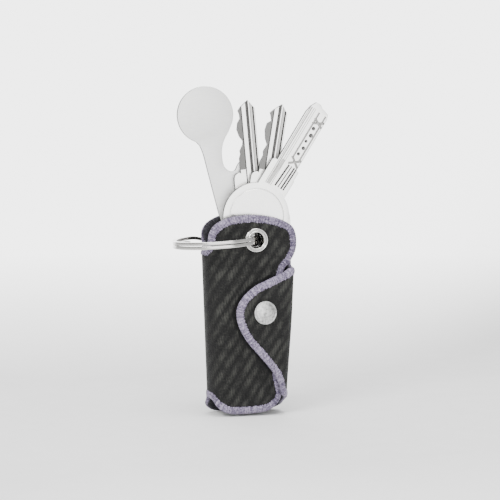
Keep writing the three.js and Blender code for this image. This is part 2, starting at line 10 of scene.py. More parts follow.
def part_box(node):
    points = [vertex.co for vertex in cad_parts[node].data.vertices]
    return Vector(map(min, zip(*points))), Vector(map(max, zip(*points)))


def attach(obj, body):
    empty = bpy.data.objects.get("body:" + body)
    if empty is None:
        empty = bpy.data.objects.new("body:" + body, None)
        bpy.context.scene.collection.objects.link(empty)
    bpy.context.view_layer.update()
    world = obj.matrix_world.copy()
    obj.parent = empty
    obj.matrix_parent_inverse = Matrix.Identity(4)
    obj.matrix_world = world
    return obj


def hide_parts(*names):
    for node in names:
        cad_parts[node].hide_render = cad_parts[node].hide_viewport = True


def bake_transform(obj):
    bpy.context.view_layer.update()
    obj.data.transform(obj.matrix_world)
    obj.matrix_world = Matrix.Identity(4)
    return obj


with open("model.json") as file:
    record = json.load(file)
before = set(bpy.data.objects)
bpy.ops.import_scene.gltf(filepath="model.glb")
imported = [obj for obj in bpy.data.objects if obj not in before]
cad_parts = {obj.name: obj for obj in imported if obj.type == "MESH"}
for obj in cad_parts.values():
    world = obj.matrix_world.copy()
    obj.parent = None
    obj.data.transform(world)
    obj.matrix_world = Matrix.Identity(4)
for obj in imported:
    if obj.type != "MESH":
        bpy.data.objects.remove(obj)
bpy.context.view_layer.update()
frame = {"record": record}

MM = 0.001
random.seed(7)

joints = {joint["name"]: joint for joint in frame["record"]["behaviour"]["joints"]}


def joint_point(name):
    return Vector(joints[name]["pos_m"]) / MM


def in_scene(name, data):
    """A new object, linked into the scene."""
    thing = bpy.data.objects.new(name, data)
    bpy.context.scene.collection.objects.link(thing)
    return thing


# ---- sizes of the wrap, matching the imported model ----

FOLD_RADIUS = -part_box("front_cover")[0].y / MM
FOLD_X = -11.1            # where the round fold on the left side begins
QUARTER_FOLD = FOLD_RADIUS * math.pi / 2
WALL = 2.0                # leather and lining with the glue between them
BAND = 2.75               # width of the thread border
TAPER = 0.0024            # the case narrows by this share for each millimetre down
LEFT_TAPER = 0.0019
TAPER_Z = 60              # the height where the widths are true
PINCH = 0.06              # the back is squeezed in at its lower right
NOTCH_TOP = 67.4
NOTCH_BOTTOM = 7.6
CURVE_X = -6              # right of this the front curves back
FRONT_FLAT = CURVE_X - FOLD_X
FRONT_ARC = 18
FRONT_TURN = math.radians(12)
BACK_CORNER_X = 12.9
BACK_CORNER_RADIUS = 4.6
FLAP_LIFT = 2.9           # the flap's outer face lies this far above the front's
EYELET_S = 0.5 - FOLD_X
PIVOT = joint_point("ring_swing")
SNAP_Z = 42.6
SNAP_X = 3.4

# ---- camera and lights ----

CAMERA_AZIMUTH = math.radians(-13)
CAMERA_ELEVATION = math.radians(5)
CAMERA_DISTANCE = 0.9
AIM = Vector((0, 0, 0.0672))
FRAME_WIDTH = 0.2041

back_way = Vector((
    math.sin(CAMERA_AZIMUTH) * math.cos(CAMERA_ELEVATION),
    -math.cos(CAMERA_AZIMUTH) * math.cos(CAMERA_ELEVATION),
    math.sin(CAMERA_ELEVATION),
))
camera_data = bpy.data.cameras.new("camera")
camera_data.lens = camera_data.sensor_width * CAMERA_DISTANCE / FRAME_WIDTH
camera = in_scene("camera", camera_data)
camera.location = AIM + back_way * CAMERA_DISTANCE
camera.rotation_euler = (-back_way).to_track_quat("-Z", "Y").to_euler()
bpy.context.scene.camera = camera


def area_light(name, place, size, power):
    data = bpy.data.lights.new(name, "AREA")
    data.shape = "RECTANGLE"
    data.size, data.size_y = size
    data.energy = power
    light = in_scene(name, data)
    light.location = place
    light.rotation_euler = (AIM - Vector(place)).to_track_quat("-Z", "Y").to_euler()


area_light("key_light", (-0.5, -0.55, 0.6), (0.35, 0.35), 7)
area_light("top_light", (0.05, -0.15, 0.8), (0.5, 0.3), 4)
area_light("back_light", (0.1, 0.7, 0.4), (0.6, 0.4), 3)

# ---- material helpers ----


class Nodes:
    """A short way to write a node tree. Inputs take a value or another node's output."""

    def __init__(self, tree):
        self.tree = tree

    def add(self, kind, inputs=None, **settings):
        node = self.tree.nodes.new(kind)
        for key, value in settings.items():
            setattr(node, key, value)
        for label, value in (inputs or {}).items():
            self.plug(node.inputs[label], value)
        return node

    def plug(self, target, value):
        if isinstance(value, bpy.types.NodeSocket):
            self.tree.links.new(value, target)
        else:
            target.default_value = value

    def math(self, operation, a, b=0.0):
        return self.add("ShaderNodeMath", {0: a, 1: b}, operation=operation).outputs[0]

    def add_up(self, a, b):
        return self.math("ADD", a, b)

    def times(self, a, b):
        return self.math("MULTIPLY", a, b)

    def place(self, space="Object", scale=(1, 1, 1)):
        spot = self.add("ShaderNodeTexCoord").outputs[space]
        return self.add("ShaderNodeMapping", {"Vector": spot, "Scale": scale}).outputs[0]

    def split(self, vector):
        return self.add("ShaderNodeSeparateXYZ", {0: vector}).outputs

    def attribute(self, name):
        return self.add("ShaderNodeAttribute", attribute_name=name).outputs["Fac"]

    def noise(self, vector, scale, detail=3.0, roughness=0.5):
        return self.add("ShaderNodeTexNoise", {
            "Vector": vector, "Scale": scale, "Detail": detail, "Roughness": roughness,
        }).outputs["Fac"]

    def ramp(self, factor, stops):
        node = self.add("ShaderNodeValToRGB", {"Fac": factor})
        elements = node.color_ramp.elements
        while len(elements) < len(stops):
            elements.new(1)
        for element, (position, colour) in zip(elements, stops):
            element.position = position
            element.color = (*colour, 1)
        return node.outputs["Color"]

    def grey(self, factor, low, high, start=0.0, end=1.0, shape="LINEAR"):
        """Maps start..end of a factor to low..high."""
        return self.add("ShaderNodeMapRange", {
            "Value": factor, "From Min": start, "From Max": end, "To Min": low, "To Max": high,
        }, interpolation_type=shape).outputs["Result"]

    def mix(self, factor, a, b):
        inputs = {"Factor": factor, "A": a, "B": b}
        return self.add("ShaderNodeMix", inputs, data_type="RGBA").outputs["Result"]

    def bump(self, height, strength, distance):
        inputs = {"Height": height, "Strength": strength, "Distance": distance}
        return self.add("ShaderNodeBump", inputs).outputs["Normal"]


class Surface(Nodes):
    """A material with one principled shader."""

    def __init__(self, name):
        self.material = bpy.data.materials.new(name)
        self.material.use_nodes = True
        super().__init__(self.material.node_tree)
        self.tree.nodes.clear()
        self.shader = self.add("ShaderNodeBsdfPrincipled")
        self.add("ShaderNodeOutputMaterial", {"Surface": self.shader.outputs[0]})

    def set(self, **values):
        for key, value in values.items():
            self.plug(self.shader.inputs[key.replace("_", " ")], value)


def leather_material():
    """Charcoal leather pressed with a twill: steep stair-stepped ribs of rounded cords.
    The fold is rubbed smooth, and a painted shadow darkens the front under the flap, most of all
    along its edge.
    The sheet's coordinates are millimetres, across and up."""
    cord_width = 1.05
    step_height = 1.45
    steps_per_rib = 4.6
    n = Surface("twill_leather")
    sheet = n.place("UV")
    split = n.split(sheet)
    wobble = n.grey(n.noise(sheet, 0.3, 2.0), -0.5, 0.5, 0.2, 0.8)
    column = n.math("DIVIDE", n.add_up(split["X"], wobble), cord_width)
    rise = n.math("DIVIDE", split["Y"], step_height)
    stepped = n.math("SUBTRACT", rise, n.math("FLOOR", column))
    around = n.math("FRACT", n.math("DIVIDE", stepped, steps_per_rib))
    rib = n.math("SINE", n.times(around, math.pi))
    rib = n.math("POWER", n.math("MAXIMUM", rib, 0.0), 1.5)
    cord = n.math("SINE", n.times(n.math("FRACT", column), math.pi))
    cord = n.math("POWER", n.math("MAXIMUM", cord, 0.0), 0.5)
    pressed = n.times(rib, n.grey(cord, 0.4, 1.0))
    from_fold = n.math("ABSOLUTE", n.add_up(split["X"], QUARTER_FOLD))
    rubbed = n.grey(from_fold, 0.25, 1.0, 4.0, 9.0)
    patches = n.noise(sheet, 0.16, 3.0)
    depth = n.times(rubbed, n.grey(patches, 0.15, 1.0, 0.38, 0.62))
    grain = n.noise(sheet, 1.5, 4.0, 0.7)
    height = n.add_up(n.times(pressed, n.times(depth, 0.36)), n.times(grain, 0.7))
    # painted shadow: the flap's shadow darkens the leather's colour under and along the flap's edge
    lit = n.times(height, n.grey(n.attribute("painted_flap_shadow"), 1.0, 0.4))
    # The base colour is read from the height: painted highlights on the raised ribs and painted
    # shade in the valleys, with the leather's own grain.
    n.set(
        Base_Color=n.ramp(lit, [
            (0.29, (0.0006, 0.0006, 0.0007)),
            (0.35, (0.0024, 0.0024, 0.0025)),
            (0.41, (0.0072, 0.0072, 0.0068)),
            (0.48, (0.0140, 0.0142, 0.0128)),
            (0.66, (0.0340, 0.0346, 0.0306)),
        ]),
        Roughness=n.grey(grain, 0.44, 0.68, 0.3, 0.7),
        Specular_IOR_Level=0.2,
        Normal=n.bump(height, 1.0, 0.0008),
    )
    return n.material


def lining_material():
    """Matt black lining with a fine dotted texture."""
    n = Surface("black_lining")
    sheet = n.place("UV")
    dots = n.add("ShaderNodeTexVoronoi", {"Vector": sheet, "Scale": 1.4, "Randomness": 0.35})
    spots = n.grey(dots.outputs["Distance"], 1.0, 0.0, 0.05, 0.45)
    fibres = n.noise(sheet, 7.0, 4.0)
    height = n.add_up(n.times(spots, 0.7), n.times(fibres, 0.3))
    n.set(
        Base_Color=n.ramp(height, [(0.2, (0.004, 0.004, 0.004)), (0.9, (0.03, 0.03, 0.031))]),
        Roughness=n.grey(fibres, 0.75, 0.9),
        Sheen_Weight=0.15,
        Normal=n.bump(height, 0.6, 0.00015),
    )
    return n.material


def thread_material():
    """Lavender-grey spun thread with fine fibres, painted near-black as shade where it lies on the
    case's inner face.
    """
    n = Surface("overcast_thread")
    fine = n.place()
    fibres = n.noise(fine, 5200, 3.0)
    specks = n.noise(fine, 1500, 2.0, 0.6)
    spun = n.add_up(n.times(fibres, 0.2), n.times(specks, 0.45))
    shade = n.add_up(spun, n.times(n.attribute("tone"), 0.35))
    outer = n.ramp(shade, [
        (0.4, (0.046, 0.036, 0.068)),
        (0.5, (0.165, 0.140, 0.208)),
        (0.62, (0.400, 0.350, 0.460)),
    ])
    # painted shade: the thread on the case's inner face is near-black
    inner = n.ramp(shade, [(0.4, (0.004, 0.004, 0.006)), (0.62, (0.035, 0.034, 0.042))])
    n.set(
        Base_Color=n.mix(n.attribute("inside"), outer, inner),
        Roughness=n.grey(fibres, 0.62, 0.85),
        Sheen_Weight=0.15,
        Sheen_Roughness=0.4,
        Specular_IOR_Level=0.3,
        Normal=n.bump(fibres, 0.5, 0.00006),
    )
    return n.material


def metal_material(
        name, colour, rough, brush=(60, 60, 900), brushed=0.3, mottled=0.72, span=(0.1, 0.5)):
    """Plated metal: soft brushing, faint scratches and cloudy handling marks."""
    n = Surface(name)
    along = n.place("Object", brush)
    grain = n.noise(along, 8.0, 4.0, 0.6)
    space = n.place()
    cloudy = n.noise(space, 180, 4.0, 0.6)
    specks = n.noise(space, 2200, 2.0, 0.7)
    marks = n.add_up(n.times(grain, brushed), n.times(cloudy, 0.35))
    darker = tuple(mottled * part for part in colour)
    height = n.add_up(n.times(grain, 0.6), n.times(specks, 0.25))
    n.set(
        Base_Color=n.mix(n.grey(marks, 0.0, 1.0, *span), (*darker, 1), (*colour, 1)),
        Metallic=1.0,
        Roughness=n.grey(marks, rough * 0.75, rough * 1.35, 0.15, 0.5),
        Normal=n.bump(height, 0.12 + 0.2 * brushed, 0.00003),
    )
    return n.material


LEATHER = leather_material()
LINING = lining_material()
THREAD = thread_material()
NICKEL = metal_material("bright_nickel", (0.72, 0.71, 0.69), 0.12, brushed=0.15, mottled=0.6)
CAP_NICKEL = metal_material(
    "satin_cap_nickel", (0.68, 0.68, 0.67), 0.34, (130, 130, 130), 0.6,
    mottled=0.35, span=(0.36, 0.58))
KEY_STEEL = metal_material("plated_key_steel", (0.90, 0.895, 0.88), 0.24, (900, 60, 60), 0.35)
# Milled faces: their rougher finish is the cut metal's own, and their darker grey colour is painted
# shade in the cuts.
MILLED_SHADED_STEEL = metal_material("milled_and_shaded_key_steel", (0.44, 0.435, 0.425), 0.34, (900, 60, 60), 0.5)
# Painted shade: the faces cut by the dark grooves, pits and the blade's edge slope get a near-black
# steel where shade would fall.
GROOVE_SHADE_STEEL = metal_material("painted_groove_shade_steel", (0.16, 0.158, 0.154), 0.42, (900, 60, 60), 0.5)
TOKEN_STEEL = metal_material(
    "satin_token_steel", (0.76, 0.76, 0.75), 0.36, (40, 40, 700), 0.5, span=(0.25, 0.6))
# Painted shade: the sides of the keys and token are near-black, standing in for shade and dark
# reflections between the plates.
SIDE_SHADE_STEEL = metal_material("painted_side_shade_steel", (0.10, 0.10, 0.098), 0.45, (60, 60, 60), 0.5)

# ---- mesh helpers ----


def new_object(name, mesh, *materials):
    for material in materials:
        mesh.materials.append(material)
    return in_scene(name, mesh)


def mesh_from(name, points, faces, *materials):
    mesh = bpy.data.meshes.new(name)
    mesh.from_pydata([Vector(point) * MM for point in points], [], faces)
    mesh.polygons.foreach_set("use_smooth", [True] * len(mesh.polygons))
    mesh.update()
    return new_object(name, mesh, *materials)


def paint(mesh, label, values):
    """Gives each corner of a mesh a value that its material can read."""
    layer = mesh.attributes.new(label, "FLOAT", "POINT")
    layer.data.foreach_set("value", values)


def tube_faces(rings, count, first=0, looped=False, open_section=False):
    """Faces between neighbouring rings of points, count points in each ring."""
    faces = []
    for j in range(rings if looped else rings - 1):
        here = first + j * count
        ahead = first + (j + 1) % rings * count
        for k in range(count - 1 if open_section else count):
            after = (k + 1) % count
            faces.append((here + k, here + after, ahead + after, ahead + k))
    return faces


def end_faces(rings, count, first=0):
    """The two faces that close a tube."""
    last = first + (rings - 1) * count
    return [tuple(first + k for k in reversed(range(count))), tuple(last + k for k in range(count))]


def ease(start, end, value):
    """Rises smoothly from 0 at start to 1 at end."""
    t = min(1.0, max(0.0, (value - start) / (end - start)))
    return t * t * (3 - 2 * t)


# ---- the wrap's walls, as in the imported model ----
# A place on a wall is s, z and depth: s runs along the sheet from FOLD_X, to the right on the
# front and from the left to the right and round the corner on the back. Depth goes into the wall.

FAR = 100                 # longer than any stretch of wall
STRAIGHT = 1e-9           # the bend of a stretch that is as good as straight


def walk(start, angle, stretches, left):
    """Follows straight and curved stretches for a distance, seen from above."""
    x, y = start
    for length, bend in stretches:
        step = min(left, length)
        if abs(bend) < STRAIGHT:
            x += step * math.cos(angle)
            y += step * math.sin(angle)
        else:
            turned = angle + step * bend
            x += (math.sin(turned) - math.sin(angle)) / bend
            y -= (math.cos(turned) - math.cos(angle)) / bend
            angle = turned
        left -= step
        if left <= 0:
            break
    return x, y, angle


def fold_amount(z):
    """How far the left side bends round the fold at a height: fully between the notches."""
    return ease(-1, NOTCH_BOTTOM, z) * (1 - ease(NOTCH_TOP, 77, z))


def side_amount(z):
    """How far the back bends into the right side wall: fully below the flap's top edge."""
    return ease(-2, 4.5, z) * (1 - ease(60.2, 66, z))


def wall_at(side, right, s, z, depth, pinch=0.0):
    """A place on the front, side -1, or on the back, side 1, of a case that narrows downwards."""
    start = (FOLD_X, side * FOLD_RADIUS)
    if s >= 0:
        x, y, angle = walk(start, 0, right, s)
        inward = angle - side * math.pi / 2
    else:
        x, y, angle = walk(start, math.pi, [(FAR, side * fold_amount(z) / FOLD_RADIUS)], -s)
        inward = angle + side * math.pi / 2
    x += depth * math.cos(inward)
    y += depth * math.sin(inward)
    x *= 1 + (LEFT_TAPER if x < 0 else TAPER) * (z - TAPER_Z)
    x *= 1 - pinch * ease(4, 16, x) * (1 - ease(4, 44, z))
    return Vector((x, y, z))


def front_wall(s, z, depth):
    right = [(FRONT_FLAT, 0), (FRONT_ARC, FRONT_TURN / FRONT_ARC), (FAR, 0)]
    return wall_at(-1, right, s, z, depth)


FLAP_START = (FOLD_X + FRONT_FLAT, -FOLD_RADIUS - FLAP_LIFT)
FLAP_ARC_RADIUS = FRONT_ARC / FRONT_TURN + FLAP_LIFT
FLAP_ARC = FLAP_ARC_RADIUS * FRONT_TURN
SIDE_X = BACK_CORNER_X + BACK_CORNER_RADIUS
ARC_END_X, ARC_END_Y, _ = walk(FLAP_START, 0, [(FLAP_ARC, 1 / FLAP_ARC_RADIUS)], FLAP_ARC)
FRONT_CORNER_RADIUS = (SIDE_X - ARC_END_X) / (1 - math.sin(FRONT_TURN))
FRONT_CORNER = FRONT_CORNER_RADIUS * (math.pi / 2 - FRONT_TURN)
BACK_FLAT = BACK_CORNER_X - FOLD_X
BACK_CORNER = BACK_CORNER_RADIUS * math.pi / 2
SIDE_FLAT = (
    FOLD_RADIUS - BACK_CORNER_RADIUS - ARC_END_Y - FRONT_CORNER_RADIUS * math.cos(FRONT_TURN)
)
FLAP_END_S = BACK_FLAT + BACK_CORNER + SIDE_FLAT + FRONT_CORNER + FLAP_ARC
FLAP_HINGE_S = BACK_FLAT + BACK_CORNER + SIDE_FLAT + 0.55 * FRONT_CORNER
SEAM_S = BACK_FLAT - 1.0


def back_wall(s, z, depth):
    side = side_amount(z)
    right = [
        (BACK_FLAT, 0),
        (BACK_CORNER, -side / BACK_CORNER_RADIUS),
        (SIDE_FLAT, 0),
        (FRONT_CORNER, -side / FRONT_CORNER_RADIUS),
        (FLAP_ARC, -side / FLAP_ARC_RADIUS),
        (FAR, 0),
    ]
    return wall_at(1, right, s, z, depth, PINCH)


# ---- outlines ----

EDGE_SPACING = 0.25


def smooth_line(points, spacing=EDGE_SPACING):
    """An evenly spaced smooth line through points, as a Catmull-Rom curve."""
    steps = 24
    dense = []
    for i in range(len(points) - 1):
        p0 = points[max(0, i - 1)]
        p1, p2 = points[i], points[i + 1]
        p3 = points[min(len(points) - 1, i + 2)]
        for k in range(steps):
            t = k / steps
            dense.append(tuple(
                0.5 * (2 * b + (c - a) * t + (2 * a - 5 * b + 4 * c - d) * t * t
                       + (3 * b - a - 3 * c + d) * t ** 3)
                for a, b, c, d in zip(p0, p1, p2, p3)
            ))
    dense.append(tuple(points[-1]))
    return respaced(dense, spacing)


def respaced(line, spacing):
    lengths = [math.dist(a, b) for a, b in zip(line, line[1:])]
    total = sum(lengths)
    count = max(2, round(total / spacing))
    result, walked, i = [line[0]], 0.0, 0
    for k in range(1, count):
        target = total * k / count
        while walked + lengths[i] < target:
            walked += lengths[i]
            i += 1
        t = (target - walked) / lengths[i]
        result.append(tuple(a + (b - a) * t for a, b in zip(line[i], line[i + 1])))
    result.append(line[-1])
    return result


def on_sheet(points):
    """Turns x as seen from the front into distance along the sheet."""
    return [(x - FOLD_X, z) for x, z in points]


FOLD_MIDDLE = FOLD_X - QUARTER_FOLD
HINGE_X = FLAP_HINGE_S + FOLD_X
FLAP_LOW = 8
FLAP_HIGH = 60
LOBE_LEFT = [
    (-21.2, 67.6), (-19.7, 69.2), (-18.9, 72), (-18.2, 74.4), (-16.8, 76.9), (-14.6, 78.9),
    (-10.6, 80.8), (-6.5, 81.6), (-2, 81.9), (2.8, 81.6), (8.3, 80.7), (12.4, 79.2),
]
FRONT_FOOT = [(-12, 1.6), (-15.2, 2.7), (-17.9, 4.6), (-20.6, 6.8)]
BACK_FOOT = [(-14.8, 0.7), (-17.9, 1.8), (-20.4, 3.8), (-22.2, 6.4)]

FRONT_EDGE = smooth_line(on_sheet([
    (FOLD_MIDDLE, NOTCH_TOP), *LOBE_LEFT,
    (15.9, 77), (17.4, 74.2), (18, 70.6), (17.7, 67.2), (16, 63.6), (13.2, 60),
    (12, 56.6), (11.4, 50), (11.3, 40), (11.3, 28), (11.5, 17.5), (12.6, 13),
    (13.5, 9.2), (12.7, 6.1), (10.2, 3.7), (6.4, 2), (0, 1.4), (-7.5, 1.2),
    *FRONT_FOOT, (FOLD_MIDDLE, NOTCH_BOTTOM),
]))

BACK_TOP_EDGE = smooth_line(on_sheet([
    (FOLD_MIDDLE, NOTCH_TOP), *LOBE_LEFT,
    (15.4, 77), (16.8, 74), (17.3, 70.4), (17.6, 66.4), (19, 63), (22, 61), (26, 60.2),
    (HINGE_X, FLAP_HIGH),
]))

BACK_BOTTOM_EDGE = smooth_line(on_sheet([
    (HINGE_X, FLAP_LOW), (29.5, 7), (25.5, 5.4), (21.8, 3.8), (18.6, 2.5), (15.6, 1.4),
    (12, 0.6), (6, 0.1), (-2, 0), (-9, 0.1),
    *BACK_FOOT, (FOLD_MIDDLE, NOTCH_BOTTOM),
]))

FLAP_EDGE = smooth_line([
    (max(FLAP_END_S - (x - CURVE_X), FLAP_HINGE_S), z) for x, z in [
        (16.3, FLAP_HIGH), (12.4, 58.5), (4.6, 55.3), (-0.1, 53.2), (-4.9, 49.4), (-7.7, 44.9),
        (-8, 40.7), (-6.7, 36.2), (-3.6, 31), (1.3, 25.7), (6.6, 20.3), (10.1, 16.4),
        (12.2, 12.9), (13.2, 10.4), (14.2, 8.9), (15.3, 8.15), (16.3, FLAP_LOW),
    ]
])

# the flap's edge as it lies on the front, in the front's own distances
UNDER_FLAP = [(FLAP_END_S - s + FRONT_FLAT, z) for s, z in FLAP_EDGE[::3]]


def sides(outline):
    """The sides of a closed outline, as pairs of corners."""
    return zip(outline, outline[1:] + outline[:1])


def way_at(line, i, back=1, ahead=1):
    """The unit direction of a line near its i-th point."""
    before, after = line[max(0, i - back)], line[min(len(line) - 1, i + ahead)]
    ds, dz = after[0] - before[0], after[1] - before[1]
    length = math.hypot(ds, dz)
    return ds / length, dz / length


def crossings(outline, level, upright):
    """The lowest and highest place where a closed outline crosses a line."""
    along, over = (0, 1) if upright else (1, 0)
    hits = []
    for a, b in sides(outline):
        if (a[along] <= level) != (b[along] <= level):
            t = (level - a[along]) / (b[along] - a[along])
            hits.append(a[over] + t * (b[over] - a[over]))
    return min(hits), max(hits)


# ---- leather ----


class SheetMesh:
    """Collects patches of wall, each with an outer and an inner face joined round the rim."""

    def __init__(self):
        self.points, self.faces, self.slots, self.uvs = [], [], [], []

    def patch(self, wall, place, columns, rows, mirrored, joined):
        """place(u, v) gives (s, z) for the grid; joined tells where another patch goes on.
        A mirrored patch is on the far side of the fold, where s runs the other way."""
        base = len(self.points)
        spots = [place(i / columns, j / rows) for j in range(rows + 1) for i in range(columns + 1)]
        size = len(spots)
        for depth in (0.0, WALL):
            self.points += [wall(s, z, depth) for s, z in spots]
            self.uvs += [(-2 * QUARTER_FOLD - s, z) for s, z in spots] if mirrored else spots
        grid = tube_faces(rows + 1, columns + 1, base, open_section=True)
        outer = [quad[::-1] if mirrored else quad for quad in grid]
        inner = [tuple(corner + size for corner in reversed(quad)) for quad in outer]
        self.faces += outer + inner
        self.slots += [0] * len(outer) + [1] * len(inner)
        rim = list(range(columns + 1))
        rim += [(j + 1) * (columns + 1) + columns for j in range(rows)]
        rim += [rows * (columns + 1) + columns - 1 - i for i in range(columns)]
        rim += [(rows - 1 - j) * (columns + 1) for j in range(rows - 1)]
        for a, b in sides(rim):
            if joined(*spots[a]) and joined(*spots[b]):
                continue
            quad = (base + a, base + size + a, base + size + b, base + b)
            self.faces.append(quad[::-1] if mirrored else quad)
            self.slots.append(0)

    def painted_flap_shadow(self, s, z):
        """How much painted shadow of the flap a place on the front gets: some under the flap, most
        of all along its edge.
        """
        inside_shade = 0.3
        if s < 0:
            return 0.0
        inside = False
        for (s0, z0), (s1, z1) in sides(UNDER_FLAP):
            if (z0 <= z) != (z1 <= z) and s < s0 + (z - z0) / (z1 - z0) * (s1 - s0):
                inside = not inside
        away = min(math.dist((s, z), spot) for spot in UNDER_FLAP)
        if inside:
            return max(inside_shade, 1.0 - ease(0.3, 2.2, away))
        return 1.0 - ease(0.2, 1.9, away)

    def make(self, name):
        piece = mesh_from(name, self.points, self.faces, LEATHER, LINING)
        mesh = piece.data
        mesh.polygons.foreach_set("material_index", self.slots)
        paint(mesh, "painted_flap_shadow", [self.painted_flap_shadow(s, z) for s, z in self.uvs])
        layer = mesh.uv_layers.new(name="sheet")
        for loop in mesh.loops:
            layer.data[loop.index].uv = self.uvs[loop.vertex_index]
        return weld(piece)


FINE = 0.0005             # corners closer than this are one, on small metal pieces


def weld(piece, distance=0.01):
    """Joins corners that lie on each other and turns all faces out."""
    work = bmesh.new()
    work.from_mesh(piece.data)
    bmesh.ops.remove_doubles(work, verts=work.verts, dist=distance * MM)
    bmesh.ops.recalc_face_normals(work, faces=work.faces)
    work.to_mesh(piece.data)
    work.free()
    return piece


EDGE_HIDDEN = 0.45        # the leather stops this far inside the thread's outer edge


def row_levels(bottom, top, rows, bunched=0.0):
    """Heights of rows, bunched towards both ends."""
    shares = [j / rows for j in range(rows + 1)]
    return [
        bottom + (top - bottom) * (v + bunched * ((1 - math.cos(v * math.pi)) / 2 - v))
        for v in shares
    ]


def row_patch(outline, levels, limit=math.inf):
    """Rows across an outline at the given heights."""
    def place(u, v):
        z = levels[round(v * (len(levels) - 1))]
        inside = min(levels[-1] - 0.02, max(levels[0] + 0.02, z))
        low, high = crossings(outline, inside, False)
        return low + (min(high, limit) - low) * u, z

    return place


def column_patch(outline, start, end):
    def place(u, v):
        s = start + (end - start) * u
        low, high = crossings(outline, s, True)
        return s, low + (high - low) * v

    return place


def leather_line(edge, start, end):
    """The leather's own edge inside a thread border, with set ends where pieces meet."""
    line = []
    for i, (s, z) in enumerate(edge):
        ds, dz = way_at(edge, i)
        line.append((s + dz * EDGE_HIDDEN, z - ds * EDGE_HIDDEN))
    return [start, *line[1:-1], end]


FOLD_HIGH_END = (-QUARTER_FOLD, NOTCH_TOP - EDGE_HIDDEN)
FOLD_LOW_END = (-QUARTER_FOLD, NOTCH_BOTTOM + EDGE_HIDDEN)
FLAP_BOTTOM = FLAP_LOW + EDGE_HIDDEN
FLAP_TOP = FLAP_HIGH - EDGE_HIDDEN
PAST_HINGE = FLAP_HINGE_S + 0.001

front_outline = leather_line(FRONT_EDGE, FOLD_HIGH_END, FOLD_LOW_END)
back_outline = leather_line(BACK_TOP_EDGE, FOLD_HIGH_END, (PAST_HINGE, FLAP_TOP))
back_outline += leather_line(BACK_BOTTOM_EDGE, (PAST_HINGE, FLAP_BOTTOM), FOLD_LOW_END)
flap_outline = leather_line(FLAP_EDGE, (FLAP_HINGE_S, FLAP_TOP), (FLAP_HINGE_S, FLAP_BOTTOM))

BACK_BOTTOM = 0.75
FRONT_BOTTOM = 1.95
FOLD_LOW = NOTCH_BOTTOM + EDGE_HIDDEN + 0.01
FOOT_ROWS = 14            # rows below the fold's lower notch
UPPER_ROWS = 96
SIDE_ROWS = 64
FRONT_COLUMNS = 46
SIDE_COLUMNS = 44
BACK_COLUMNS = 40
WRAP_TOP = 81.35


def at_fold(s, z):
    return s < -QUARTER_FOLD + 0.01 and NOTCH_BOTTOM + 0.4 < z < NOTCH_TOP - 0.4


def at_flap_hinge(s, z):
    return abs(s - FLAP_HINGE_S) < 0.01


def seat(wall, s, z):
    """The place of a piece set on a wall, and the turn that points it out of the wall."""
    outer = wall(s, z, 0)
    outward = (outer - wall(s, z, 1)).normalized()
    return outer, outward.to_track_quat("Z", "Y")


def cone(radius, top_radius, length, where, segments=32):
    work = bmesh.new()
    bmesh.ops.create_cone(
        work, cap_ends=True, segments=segments, radius1=radius * MM, radius2=top_radius * MM,
        depth=length * MM, matrix=where)
    return work


def with_hole(piece, place, radius):
    """Cuts a round hole through a wall."""
    outer, turn = seat(*place)
    length = 8
    where = Matrix.Translation(outer * MM) @ turn.to_matrix().to_4x4()
    cut(piece, cone(radius, radius, length, where, 48))


def cut(piece, shape, material=None):
    """Takes a shape out of a piece; the cut faces can take their own material."""
    mesh = bpy.data.meshes.new("cutter")
    shape.to_mesh(mesh)
    shape.free()
    tool = new_object("cutter", mesh, *([material] if material else []))
    step = piece.modifiers.new("cut", "BOOLEAN")
    step.operation = "DIFFERENCE"
    step.solver = "EXACT"
    step.material_mode = "TRANSFER" if material else "INDEX"
    step.object = tool
    seen = piece.evaluated_get(bpy.context.evaluated_depsgraph_get())
    result = bpy.data.meshes.new_from_object(seen)
    piece.modifiers.clear()
    piece.data = result
    bpy.data.objects.remove(tool)


def finished(piece, angle=38):
    """Smooth shading with crisp corners."""
    piece.data.polygons.foreach_set("use_smooth", [True] * len(piece.data.polygons))
    piece.data.set_sharp_from_angle(angle=math.radians(angle))
    return piece


SNAP_TURN = math.asin(
    (SNAP_X / (1 + TAPER * (SNAP_Z - TAPER_Z)) - FOLD_X - FRONT_FLAT) / (FRONT_ARC / FRONT_TURN)
)
SNAP_FRONT_S = FRONT_FLAT + SNAP_TURN * FRONT_ARC / FRONT_TURN
SNAP_FLAP_S = FLAP_END_S - SNAP_TURN * FLAP_ARC_RADIUS
FRONT_EYELET = (front_wall, EYELET_S, PIVOT.z)
BACK_EYELET = (back_wall, EYELET_S, PIVOT.z)
STUD = (front_wall, SNAP_FRONT_S, SNAP_Z)
CAP = (back_wall, SNAP_FLAP_S, SNAP_Z)
EYELET_HOLE = 3.5
STUD_HOLE = 2.2
CAP_HOLE = 1.6

left_sheet = SheetMesh()
upper_levels = row_levels(FOLD_LOW, WRAP_TOP, UPPER_ROWS, 0.3)
front_levels = row_levels(FRONT_BOTTOM, FOLD_LOW, FOOT_ROWS)[:-1] + upper_levels
back_levels = row_levels(BACK_BOTTOM, FOLD_LOW, FOOT_ROWS)[:-1] + upper_levels
left_rows = UPPER_ROWS + FOOT_ROWS
front_rows = row_patch(front_outline, front_levels)
back_rows = row_patch(back_outline, back_levels, SEAM_S)
left_sheet.patch(front_wall, front_rows, FRONT_COLUMNS, left_rows, False, at_fold)
left_sheet.patch(back_wall, back_rows, BACK_COLUMNS, left_rows, True, at_fold)
wrap_left = left_sheet.make("wrap_front_and_back")
for place, radius in ((FRONT_EYELET, EYELET_HOLE), (BACK_EYELET, EYELET_HOLE), (STUD, STUD_HOLE)):
    with_hole(wrap_left, place, radius)
finished(wrap_left)

